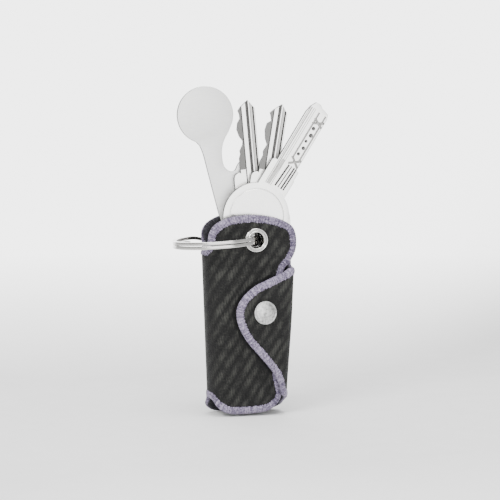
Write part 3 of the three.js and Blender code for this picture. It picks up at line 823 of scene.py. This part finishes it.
right_sheet = SheetMesh()
side_columns = column_patch(back_outline, SEAM_S, FLAP_HINGE_S)
flap_rows = row_patch(flap_outline, row_levels(FLAP_BOTTOM, FLAP_TOP, SIDE_ROWS))
right_sheet.patch(back_wall, side_columns, SIDE_COLUMNS, SIDE_ROWS, True, at_flap_hinge)
right_sheet.patch(back_wall, flap_rows, BACK_COLUMNS, SIDE_ROWS, True, at_flap_hinge)
wrap_right = right_sheet.make("wrap_side_and_flap")
with_hole(wrap_right, CAP, CAP_HOLE)
finished(wrap_right)

# ---- overcast thread edges ----

STITCH_PITCH = 0.43
THREAD_HALF = 0.25
THREAD_FLAT = 0.22
STITCH_SIDES = 6
THREAD_PROUD = 0.12       # how far the thread's middle lies off the leather


def border_width(spot):
    """The border is narrower where it turns round the fold, under the split ring."""
    s, z = spot
    return BAND - 1.1 * (1 - ease(1.5, 5.5, abs(s + QUARTER_FOLD))) * ease(60, 66, z)


def stitch(wall, edge, place, reach_front, reach_back, skew):
    """One loop over the edge at a place along its line, from one face to the other:
    points with the thread's sideways direction, and 1 on the inner face or 0 on the outer."""
    i = min(len(edge) - 2, int(place))
    root = [a + (b - a) * (place - i) for a, b in zip(edge[i], edge[i + 1])]
    along = way_at(edge, i, 2, 3)
    inward = (along[1], -along[0])
    proud = THREAD_PROUD

    # the loop's places are the distance in from the edge, and the depth
    def half(reach):
        return [
            (reach, 0.45), (reach - 0.12, 0.02), (reach - 0.5, -proud), (1.6, -proud - 0.1),
            (0.75, -proud - 0.02),
        ]

    over = [
        (0.55 - 0.62 * math.sin(turn), WALL / 2 - (WALL / 2 + 0.1) * math.cos(turn))
        for turn in (math.radians(35 * k) for k in range(1, 5))
    ]
    back = [(reach, WALL - depth) for reach, depth in reversed(half(reach_back))]
    rings = []
    for inset_by, depth in half(reach_front) + over + back:
        lean = skew * (inset_by - 1.4)
        s = root[0] + inward[0] * inset_by + along[0] * lean
        z = root[1] + inward[1] * inset_by + along[1] * lean
        centre = wall(s, z, depth)
        side = wall(s + along[0] * 0.1, z + along[1] * 0.1, depth) - centre
        rings.append((centre, side.normalized(), ease(WALL / 2, WALL, depth)))
    return rings


def stitched(wall, edge, tone_at):
    """Thread loops along a whole edge line, each with its own tone."""
    lengths = [math.dist(a, b) for a, b in zip(edge, edge[1:])]
    spacing = sum(lengths) / len(lengths)
    count = round(sum(lengths) / STITCH_PITCH)
    loops = []
    for k in range(count + 1):
        wander = random.uniform(-0.05, 0.05)
        place = (k + wander) * STITCH_PITCH / spacing
        place = min(len(edge) - 1.001, max(0.0, place))
        spot = edge[int(place)]
        reach_front = border_width(spot) + random.uniform(-0.28, 0.18)
        reach_back = border_width(spot) + random.uniform(-0.3, 0.2)
        tone = tone_at(spot) + random.uniform(-0.14, 0.14)
        skew = random.uniform(-0.06, 0.06)
        loops.append((stitch(wall, edge, place, reach_front, reach_back, skew), tone))
    return loops


def thread_piece(name, edges):
    """Swept tubes along all the loops of some edges."""
    points, faces, tones, insides = [], [], [], []
    loops = [loop for edge in edges for loop in stitched(*edge)]
    for rings, tone in loops:
        base = len(points)
        count = len(rings)
        for j, (centre, side, inside) in enumerate(rings):
            insides += [inside] * STITCH_SIDES
            ahead = rings[min(count - 1, j + 1)][0] - rings[max(0, j - 1)][0]
            up = side.cross(ahead).normalized()
            for k in range(STITCH_SIDES):
                turn = 2 * math.pi * k / STITCH_SIDES
                across = side * (THREAD_HALF * math.cos(turn))
                points.append(centre + across + up * (THREAD_FLAT * math.sin(turn)))
        faces += tube_faces(count, STITCH_SIDES, base)
        faces += end_faces(count, STITCH_SIDES, base)
        tones += [tone] * (count * STITCH_SIDES)
    piece = mesh_from(name, points, faces, THREAD)
    paint(piece.data, "tone", tones)
    paint(piece.data, "inside", insides)
    return piece


# The border's tone by place is painted shade: darker where the front's border runs under the flap,
# and darker on the back's border, lighter round the corner to the side. The random part added in
# stitched is the thread's own variation.
def front_tone(spot):
    s, z = spot
    return 0.5 - 0.12 * ease(22, 27, s) * ease(45, 62, z) - 0.1 * ease(20, 23, s) * ease(22, 12, z)


def back_tone(spot):
    return 0.42 + 0.1 * ease(26, 34, spot[0])


def flap_tone(spot):
    return 0.54


def before_seam(edge):
    return [spot for spot in edge if spot[0] < SEAM_S]


def past_seam(edge):
    return [spot for spot in edge if spot[0] >= SEAM_S]


threads_left = thread_piece("edge_threads_front_and_back", (
    (front_wall, FRONT_EDGE, front_tone),
    (back_wall, before_seam(BACK_TOP_EDGE), back_tone),
    (back_wall, before_seam(BACK_BOTTOM_EDGE), back_tone),
))
threads_right = thread_piece("edge_threads_side_and_flap", (
    (back_wall, past_seam(BACK_TOP_EDGE), back_tone),
    (back_wall, past_seam(BACK_BOTTOM_EDGE), back_tone),
    (back_wall, FLAP_EDGE, flap_tone),
))

# ---- turned metal pieces ----


def lathe(name, profile, place, material, closed=True):
    """A turned piece set on a wall; the profile is (radius, height out of the wall)."""
    segments = 72
    outer, turn = seat(*place)
    points = []
    for k in range(segments):
        around = 2 * math.pi * k / segments
        for radius, height in profile:
            spot = Vector((radius * math.cos(around), radius * math.sin(around), height))
            points.append(outer + turn @ spot)
    faces = tube_faces(segments, len(profile), looped=True, open_section=not closed)
    piece = mesh_from(name, points, faces, material)
    return finished(weld(piece, FINE), 30)


def bend_line(a, b, c, steps=10):
    """A curve from a to c that pulls towards b."""
    return [
        tuple((1 - t) ** 2 * a[i] + 2 * t * (1 - t) * b[i] + t * t * c[i] for i in range(2))
        for t in (k / steps for k in range(1, steps + 1))
    ]


def rounded(profile, amount, steps=4):
    """Rounds the corners of a closed or open line of points."""
    result = [profile[0]]
    for a, b, c in zip(profile, profile[1:], profile[2:]):
        before, after = math.dist(a, b), math.dist(b, c)
        cut_by = min(amount, 0.45 * before, 0.45 * after)
        p = [b[i] + (a[i] - b[i]) * cut_by / before for i in range(2)]
        q = [b[i] + (c[i] - b[i]) * cut_by / after for i in range(2)]
        result += [tuple(p), *bend_line(p, b, q, steps)]
    result.append(profile[-1])
    return result


def closed_rounded(profile, amount, steps=3):
    looped = [profile[-1], *profile, profile[0]]
    return rounded(looped, amount, steps)[1:-1]


EYELET_PROFILE = closed_rounded([
    (2.98, -1.0), (2.98, 0.4), (3.1, 0.95), (3.3, 1.28), (3.6, 1.34), (3.85, 1.1), (4.0, 0.72),
    (4.15, 0.74), (4.35, 1.08), (4.62, 1.16), (4.88, 0.9), (5.0, 0.5), (4.95, 0.12), (4.8, -0.1),
    (3.42, -0.1), (3.42, -WALL - 0.12), (4.35, -WALL - 0.12), (4.35, -WALL - 0.55),
    (3.9, -WALL - 0.85), (3.4, -WALL - 0.85), (3.05, -WALL - 0.5),
], 0.12)
CAP_PROFILE = rounded([
    (0.001, 1.95), (1.4, 1.88), (2.8, 1.64), (3.65, 1.36), (3.95, 1.2), (4.12, 0.98), (4.4, 1.14),
    (4.7, 1.0), (4.8, 0.7), (4.7, 0.32), (4.4, 0.12), (1.25, 0.12), (1.25, -1.55), (0.001, -1.55),
], 0.14)
SOCKET_PROFILE = closed_rounded([
    (2.5, -1.45), (4.55, -1.95), (4.6, -2.25), (4.3, -2.5), (3.9, -2.42), (3.6, -2.2),
    (3.2, -2.42), (2.9, -2.58), (2.55, -2.45),
], 0.1)
STUD_PROFILE = rounded([
    (0.001, 1.1), (1.6, 1.08), (2.05, 0.85), (2.15, 0.62), (1.8, 0.32), (2.0, 0.1), (3.3, 0.08),
    (3.4, -0.05), (2.1, -0.12), (2.1, -WALL - 0.05), (3.5, -WALL - 0.05), (3.5, -WALL - 0.3),
    (0.001, -WALL - 0.35),
], 0.12)

front_eyelet = lathe("front_eyelet_ring", EYELET_PROFILE, FRONT_EYELET, NICKEL)
back_eyelet = lathe("back_eyelet_ring", EYELET_PROFILE, BACK_EYELET, NICKEL)
snap_cap = lathe("snap_cap_dome", CAP_PROFILE, CAP, CAP_NICKEL, closed=False)
snap_socket = lathe("snap_socket_ring", SOCKET_PROFILE, CAP, NICKEL)
snap_stud = lathe("snap_stud_post", STUD_PROFILE, STUD, NICKEL, closed=False)

# ---- split ring ----

RING_RADIUS = 16.65
RING_X = -14.4
RING_WIDTH = 1.65
COIL_HEIGHT = 1.4
COIL_STEP = 1.65
RING_DROOP = math.radians(3.6)
CLIMB = math.radians(16)
END_CLEARANCE = math.radians(3)
CLIMB_ANGLE = math.radians(100)
RING_STEPS = 300


def split_ring_mesh():
    """Two flat coils of one wire, which climbs from the lower to the upper coil."""
    corners = [(-1, -1), (1, -1), (1, 1), (-1, 1)]
    half = [(a * RING_WIDTH / 2, b * COIL_HEIGHT / 2) for a, b in corners]
    section = closed_rounded(half, 0.3, 4)
    points = []
    first = CLIMB + END_CLEARANCE
    for j in range(RING_STEPS + 1):
        turn_angle = first + j / RING_STEPS * (4 * math.pi - 2 * first)
        climbed = ease(2 * math.pi - CLIMB, 2 * math.pi + CLIMB, turn_angle)
        angle = CLIMB_ANGLE + turn_angle
        ends = min(1.0, 0.55 + min(j, RING_STEPS - j) * 0.15)
        for a, b in section:
            radius = RING_RADIUS + a
            height = COIL_STEP * (climbed - 0.5) + b * ends
            spot = Vector((radius * math.cos(angle), radius * math.sin(angle), height))
            spot.x += RING_X - PIVOT.x
            spot = Matrix.Rotation(-RING_DROOP, 3, "Y") @ spot
            points.append(spot + PIVOT)
    count = len(section)
    faces = tube_faces(RING_STEPS + 1, count) + end_faces(RING_STEPS + 1, count)
    return finished(weld(mesh_from("split_ring_coils", points, faces, NICKEL), FINE), 40)


split_ring = split_ring_mesh()

# ---- keys and token ----

KEY_HOLE_RADIUS = 3.5


def arc(centre, radius, start, end, steps):
    """Points of an arc, with its angles in degrees."""
    u, v = centre
    ways = [math.radians(start + (end - start) * k / steps) for k in range(steps + 1)]
    return [(u + radius * math.cos(way), v + radius * math.sin(way)) for way in ways]


def slot_line(radius, left=0.0, right=0.0):
    return arc((right, 0), radius, -90, 90, 24) + arc((left, 0), radius, 90, 270, 24)


def plate(name, outline, hole, thickness, bevel, material):
    """A flat plate with rounded edges, drawn as (u, v); its sheared sides are rougher, and their
    near-black colour is painted shade.
    """
    curve = bpy.data.curves.new(name, "CURVE")
    curve.dimensions = "2D"
    curve.fill_mode = "BOTH"
    curve.extrude = (thickness / 2 - bevel) * MM
    curve.bevel_depth = bevel * MM
    curve.bevel_resolution = 2
    curve.offset = -bevel * MM
    for line in (outline, hole):
        spline = curve.splines.new("POLY")
        spline.points.add(len(line) - 1)
        spline.use_cyclic_u = True
        for point, (u, v) in zip(spline.points, line):
            point.co = (u * MM, v * MM, 0, 1)
    drawn = in_scene(name, curve)
    mesh = bpy.data.meshes.new_from_object(
        drawn.evaluated_get(bpy.context.evaluated_depsgraph_get()))
    bpy.data.objects.remove(drawn)
    mesh.materials.clear()
    piece = weld(new_object(name, mesh, material, SIDE_SHADE_STEEL), FINE)
    # the plate's sides take the near-black painted-shade steel
    for face in piece.data.polygons:
        face.material_index = 0 if abs(face.normal.z) > 0.5 else 1
    return piece


def cutter(rings, looped):
    """A closed cutter through rings of points, with ends unless it is looped."""
    work = bmesh.new()
    count = len(rings[0])
    corners = [work.verts.new([part * MM for part in spot]) for ring in rings for spot in ring]
    faces = tube_faces(len(rings), count, looped=looped)
    if not looped:
        faces += end_faces(len(rings), count)
    for face in faces:
        work.faces.new([corners[i] for i in face])
    bmesh.ops.recalc_face_normals(work, faces=work.faces)
    return work


def channel(start, end, section):
    """A straight cutter from start to end; section is (sideways, height) points."""
    length = math.dist(start, end)
    ahead = ((end[0] - start[0]) / length, (end[1] - start[1]) / length)
    side = (ahead[1], -ahead[0])
    return cutter([
        [(u + side[0] * a, v + side[1] * a, h) for a, h in section] for u, v in (start, end)
    ], False)


def round_channel(centre, radius, section):
    """A ring-shaped cutter; section is (outwards, height) points."""
    segments = 96
    ways = [2 * math.pi * k / segments for k in range(segments)]
    return cutter([
        [(centre[0] + (radius + a) * math.cos(way), centre[1] + (radius + a) * math.sin(way), h)
         for a, h in section]
        for way in ways
    ], True)


def groove(key, start, end, section, steel):
    cut(key, channel(start, end, section), steel)


CLEAR = 0.5               # how far a cutter stands out of the face


def flat_groove(half, depth, face):
    """The section of a milled groove with a flat floor and steep walls."""
    wide = 1.25 * half
    floor = face - depth
    return [(-0.7 * half, floor), (0.7 * half, floor), (wide, face + CLEAR), (-wide, face + CLEAR)]


def notch(half, depth, face, side=1):
    """The section of a V-shaped groove in the front face, or the back face for side -1."""
    floor = face - depth
    reach = half * (face + CLEAR - floor) / (face - floor)
    section = [(-0.06, floor), (0.06, floor), (reach, face + CLEAR), (-reach, face + CLEAR)]
    return [(across, height * side) for across, height in section]


def cone_pit(centre, radius, face, depth):
    """A drilled pit with a cone floor."""
    where = Matrix.Translation(Vector((centre[0], centre[1], face - depth * 0.3)) * MM)
    return cone(0.12 * radius, 1.35 * radius, depth * 1.4, where)


def stand_up(piece, joint, lean):
    """Stands a flat plate at its place on the ring, with its face to the front."""
    place = joint_point(joint)
    turn = Matrix.Rotation(math.radians(lean), 4, "Y") @ Matrix.Rotation(math.pi / 2, 4, "X")
    piece.data.transform(Matrix.Translation(place * MM) @ turn)
    return finished(piece, 24)


BOW_RADIUS = 12.5
BOW_HEIGHT = 6.5
SHOULDER = 27.2
NECK = 7
NECK_HEIGHT = 24.5
CUTS_1 = [
    (33, 0), (34.6, 0.6), (36.1, 0.5), (38.3, 1.8), (39.9, 2.1), (41.9, 0.8), (44.8, 0),
    (47.4, 0.5), (49.2, 1.7), (51, 1.6), (52.4, 1.1), (54, 2.4),
]
CUTS_2 = [
    (31.5, 0), (34.2, 0.9), (35.6, 0.6), (38.6, 1.8), (40.8, 0.7), (44.4, 0), (47.2, 0.5),
    (48.5, 2.1), (50.3, 1.6), (51.6, 1.0), (53, 2.2),
]


def cylinder_key(name, left, right, tip, cuts, lean):
    """A key for a cylinder lock: round bow, cut blade edge and grooves down both faces."""
    thickness = 2.0
    centre = (left + right) / 2
    neck_angle = math.degrees(math.acos(NECK / BOW_RADIUS))
    outline = arc((centre, BOW_HEIGHT), BOW_RADIUS, 180 - neck_angle, 360 + neck_angle, 90)
    outline += [(centre + NECK, NECK_HEIGHT)]
    outline += bend_line(
        (centre + NECK, NECK_HEIGHT), (centre + NECK - 0.1, SHOULDER), (right + 0.6, SHOULDER))
    outline += [
        (right, SHOULDER - 0.3), (right, tip - 3.6), (right - 1.6, tip - 1.3), (right - 2.6, tip),
    ]
    outline += [(left + depth, height) for height, depth in reversed(cuts)]
    outline += [(left, SHOULDER - 0.3), (left - 0.4, SHOULDER)]
    outline += bend_line(
        (left - 0.4, SHOULDER), (centre - NECK + 0.1, SHOULDER), (centre - NECK, NECK_HEIGHT))
    hole = slot_line(KEY_HOLE_RADIUS)
    key = plate(f"{name}_blank", outline, hole, thickness, 0.14, KEY_STEEL)
    face = thickness / 2
    foot = 21.5
    top = tip + 3
    edge_slope = [(-0.6, face - 1.1), (2.3, face + 0.02), (2.3, face + 1), (-0.6, face + 1)]
    for across, low, section, steel in (
        (left, SHOULDER + 1.2, edge_slope, GROOVE_SHADE_STEEL),
        (left + 2.35, foot, notch(0.22, 0.4, face), GROOVE_SHADE_STEEL),
        (right - 3.3, foot, notch(0.6, 0.6, face), GROOVE_SHADE_STEEL),
        (right - 1.5, foot, flat_groove(0.62, 0.6, face), MILLED_SHADED_STEEL),
        (right - 1.95, foot, notch(0.22, 0.8, face), GROOVE_SHADE_STEEL),
        (right - 0.85, foot, notch(0.34, 0.8, face), GROOVE_SHADE_STEEL),
        (left + 3.2, foot, notch(0.6, 0.6, face, -1), GROOVE_SHADE_STEEL),
        (right - 1.3, foot, notch(0.6, 0.6, face, -1), GROOVE_SHADE_STEEL),
    ):
        groove(key, (across, low), (across, top), section, steel)
    return stand_up(key, f"{name}_swing", lean)


key_1 = cylinder_key("key_1", -3.2, 4.9, 56.4, CUTS_1, -5.2)
key_2 = cylinder_key("key_2", -2.95, 5.1, 55.7, CUTS_2, 9)


def dimple_key():
    """A dimple key: round head, grooved neck and a milled track of pits on its blade."""
    axis = -5.2
    head = (axis, 7.7)
    radius = 13.7
    blade = 4.65
    neck_left, neck_right, neck_top = 6.6, 6.2, 32
    tip = 60.2
    thickness = 2.2
    face = thickness / 2
    from_left = 180 - math.degrees(math.acos(neck_left / radius))
    from_right = 360 + math.degrees(math.acos(neck_right / radius))
    outline = arc(head, radius, from_left, from_right, 100)
    outline += [
        (axis + neck_right, neck_top - 4.2), (axis + neck_right - 0.35, neck_top - 3.9),
        (axis + neck_right - 0.35, neck_top - 0.3), (axis + neck_right - 0.8, neck_top),
        (axis + blade, neck_top), (axis + blade, tip - 4), (axis + 3.9, tip - 1.9),
        (axis + 0.6, tip - 0.9), (axis - 0.7, tip), (axis - 2.8, tip), (axis - 4.1, tip - 2.4),
        (axis - blade, tip - 5.2), (axis - blade, neck_top), (axis - neck_left + 0.9, neck_top),
        (axis - neck_left, neck_top - 0.9),
    ]
    hole = slot_line(KEY_HOLE_RADIUS, 2 * axis, 0)
    key = plate("key_3_blank", outline, hole, thickness, 0.16, KEY_STEEL)
    # fine lines along the left of the blade
    foot = 21.5
    for offset, half in ((-4.1, 0.12), (-3.45, 0.2), (-2.5, 0.1), (-1.7, 0.08)):
        line = axis + offset
        scored = notch(half, 1.1 * half, face)
        groove(key, (line, foot), (line, tip - 2.5), scored, MILLED_SHADED_STEEL)
    # the two borders of the milled track, and the two grooves on the back
    track = axis + 1.9
    track_half = 1.55
    back_half = 2.4
    for side in (-1, 1):
        line = track + track_half * side
        groove(key, (line, 36), (line, 57.2), notch(0.34, 0.42, face), MILLED_SHADED_STEEL)
        line = axis - back_half * side
        groove(key, (line, 33.5), (line, 57), notch(0.4, 0.42, face, -1), GROOVE_SHADE_STEEL)
    # flutes that fan out over the neck
    soft = flat_groove(0.75, 0.3, face)
    groove(key, (axis - 3.0, 21.8), (axis - 2.3, 33.4), soft, MILLED_SHADED_STEEL)
    for top_end, foot_end, half, depth in (
        (0.7, 0.0, 0.36, 0.5), (2.0, 1.4, 0.2, 0.3), (3.3, 2.8, 0.34, 0.5), (4.3, 3.9, 0.3, 0.5),
    ):
        flute = notch(half, depth, face)
        groove(key, (axis + foot_end, 22.4), (axis + top_end, 32.6), flute, GROOVE_SHADE_STEEL)
    # crossed lines below the track and near its top
    left, right = axis - 0.1, axis + 4.4
    crossed = notch(0.46, 0.5, face)
    for low, high in ((33.0, 36.4), (52.0, 54.4)):
        for start, end in ((left, right), (right, left)):
            groove(key, (start, low), (end, high), crossed, MILLED_SHADED_STEEL)
    # pits in the track, a little to its left and right in turn, and pits on the back
    first_pit, pit_pitch, pit_depth = 38.4, 3.0, 0.6
    first_back_pit, back_pit_pitch = 36.5, 3.9
    for i, size in enumerate((0.7, 0.8, 0.65, 0.9, 0.8)):
        offset = 0.3 if i % 2 else -0.25
        pit = cone_pit((track + offset, first_pit + pit_pitch * i), size, face, pit_depth)
        cut(key, pit, GROOVE_SHADE_STEEL)
        pit = cone_pit((axis - 1.9, first_back_pit + back_pit_pitch * i), size, face, pit_depth)
        bmesh.ops.scale(pit, vec=(1, 1, -1), verts=pit.verts)
        bmesh.ops.recalc_face_normals(pit, faces=pit.faces)
        cut(key, pit, MILLED_SHADED_STEEL)
    # a fine line round the head, on both faces
    line_radius = 11.2
    for side in (1, -1):
        cut(key, round_channel(head, line_radius, notch(0.24, 0.2, face, side)))
    return stand_up(key, "key_3_swing", 31.8)


key_3 = dimple_key()


def trolley_token():
    """A coin-sized disc on a shaped handle, stamped from one plate."""
    coin = arc((0, 54.15), 11.6, -38, 229, 90)
    handle = smooth_line([
        (-6.75, 43.4), (-6.7, 39.5), (-7.6, 32), (-8.9, 21), (-9.8, 12), (-9.6, 2), (-6, -5),
        (0, -6.6), (6, -5), (10, 1), (11.4, 10), (11.8, 20), (10.8, 27.5), (7.8, 31.2),
        (5.2, 30.4), (3, 28.5), (1, 29.1), (-0.4, 31.6), (0, 35), (1.2, 38.4), (3.4, 41.6),
        (6.4, 44.2),
    ], 0.8)
    hole = slot_line(KEY_HOLE_RADIUS)
    token = plate("token_plate", coin + handle, hole, 1.8, 0.25, TOKEN_STEEL)
    return stand_up(token, "trolley_token_swing", -21.6)


token = trolley_token()

# ---- what rides on what ----

for piece in (wrap_left, threads_left):
    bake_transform(piece)
for piece in (wrap_right, threads_right):
    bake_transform(piece)

for piece, body, node, slot in (
    (front_eyelet, "front_cover", "front_eyelet", "nickel"),
    (snap_stud, "front_cover", "snap_stud", "nickel"),
    (back_eyelet, "back", "back_eyelet", "nickel"),
    (snap_cap, "flap", "snap_cap", "nickel"),
    (snap_socket, "flap", "snap_socket", "nickel"),
    (split_ring, "ring", "split_ring", "nickel"),
    (key_1, "key_1", "key_1", "key_steel"),
    (key_2, "key_2", "key_2", "key_steel"),
    (key_3, "key_3", "key_3", "key_steel"),
    (token, "trolley_token", "trolley_token", "token_steel"),
):
    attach(piece, body)
    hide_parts(node)

for piece, slot, nodes in (
    (wrap_left, "leather", ("front_cover", "front_lining", "back_cover", "back_lining")),
    (wrap_right, "leather", ("side_wall", "side_lining", "closure_flap", "flap_lining")),
    (threads_left, "thread", (
        "front_edge_stitching", "back_top_stitching", "back_bottom_stitching")),
    (threads_right, "thread", ("flap_edge_stitching",)),
):
    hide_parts(*nodes)


def outline_area(outline):
    """The area inside a closed outline, in square metres."""
    turns = (a[0] * b[1] - b[0] * a[1] for a, b in sides(outline))
    return abs(sum(turns)) / 2 * MM * MM


def clipped(outline, low, high):
    return [(min(high, max(low, s)), z) for s, z in outline]


left_area = outline_area(front_outline) + outline_area(clipped(back_outline, -math.inf, SEAM_S))
right_area = outline_area(clipped(back_outline, SEAM_S, math.inf)) + outline_area(flap_outline)

# ---- floor ----

floor_mesh = bpy.data.meshes.new("floor")
REACH = 4.0
floor_mesh.from_pydata(
    [(-REACH, -REACH, 0), (REACH, -REACH, 0), (REACH, REACH, 0), (-REACH, REACH, 0)],
    [], [(0, 1, 2, 3)])


def studio_glow(n, direction):
    """The studio's light by direction: bright before and behind, dim to the sides."""
    unit = n.add("ShaderNodeVectorMath", {0: direction}, operation="NORMALIZE")
    depth_way = n.math("ABSOLUTE", n.split(unit.outputs[0])["Y"])
    return n.grey(depth_way, 0.9, 4.4, 0.72, 0.95, "SMOOTHSTEP")


def floor_material():
    """Pale paper that fades into the studio's light with distance."""
    n = Surface("pale_floor")
    ground = n.place()
    paper = n.noise(ground, 90, 3.0)
    far_away = n.add("ShaderNodeVectorMath", {0: ground}, operation="LENGTH")
    fading = n.grey(far_away.outputs["Value"], 0.0, 1.0, 0.12, 0.75)
    white = n.ramp(paper, [(0.2, (0.86, 0.86, 0.86)), (0.8, (0.9, 0.9, 0.9))])
    n.set(
        Base_Color=n.mix(fading, white, (0, 0, 0, 1)),
        Specular_IOR_Level=0.0,
        Roughness=0.8,
        Emission_Color=(1, 1, 1, 1),
        Emission_Strength=n.times(fading, studio_glow(n, ground)),
    )
    return n.material


floor = new_object("floor", floor_mesh, floor_material())

world = bpy.data.worlds.new("studio")
bpy.context.scene.world = world
world.use_nodes = True
sky = Nodes(world.node_tree)
ways = sky.add("ShaderNodeTexCoord").outputs["Generated"]
background = world.node_tree.nodes["Background"]
background.inputs["Color"].default_value = (1, 1, 1, 1)
sky.plug(background.inputs["Strength"], studio_glow(sky, ways))
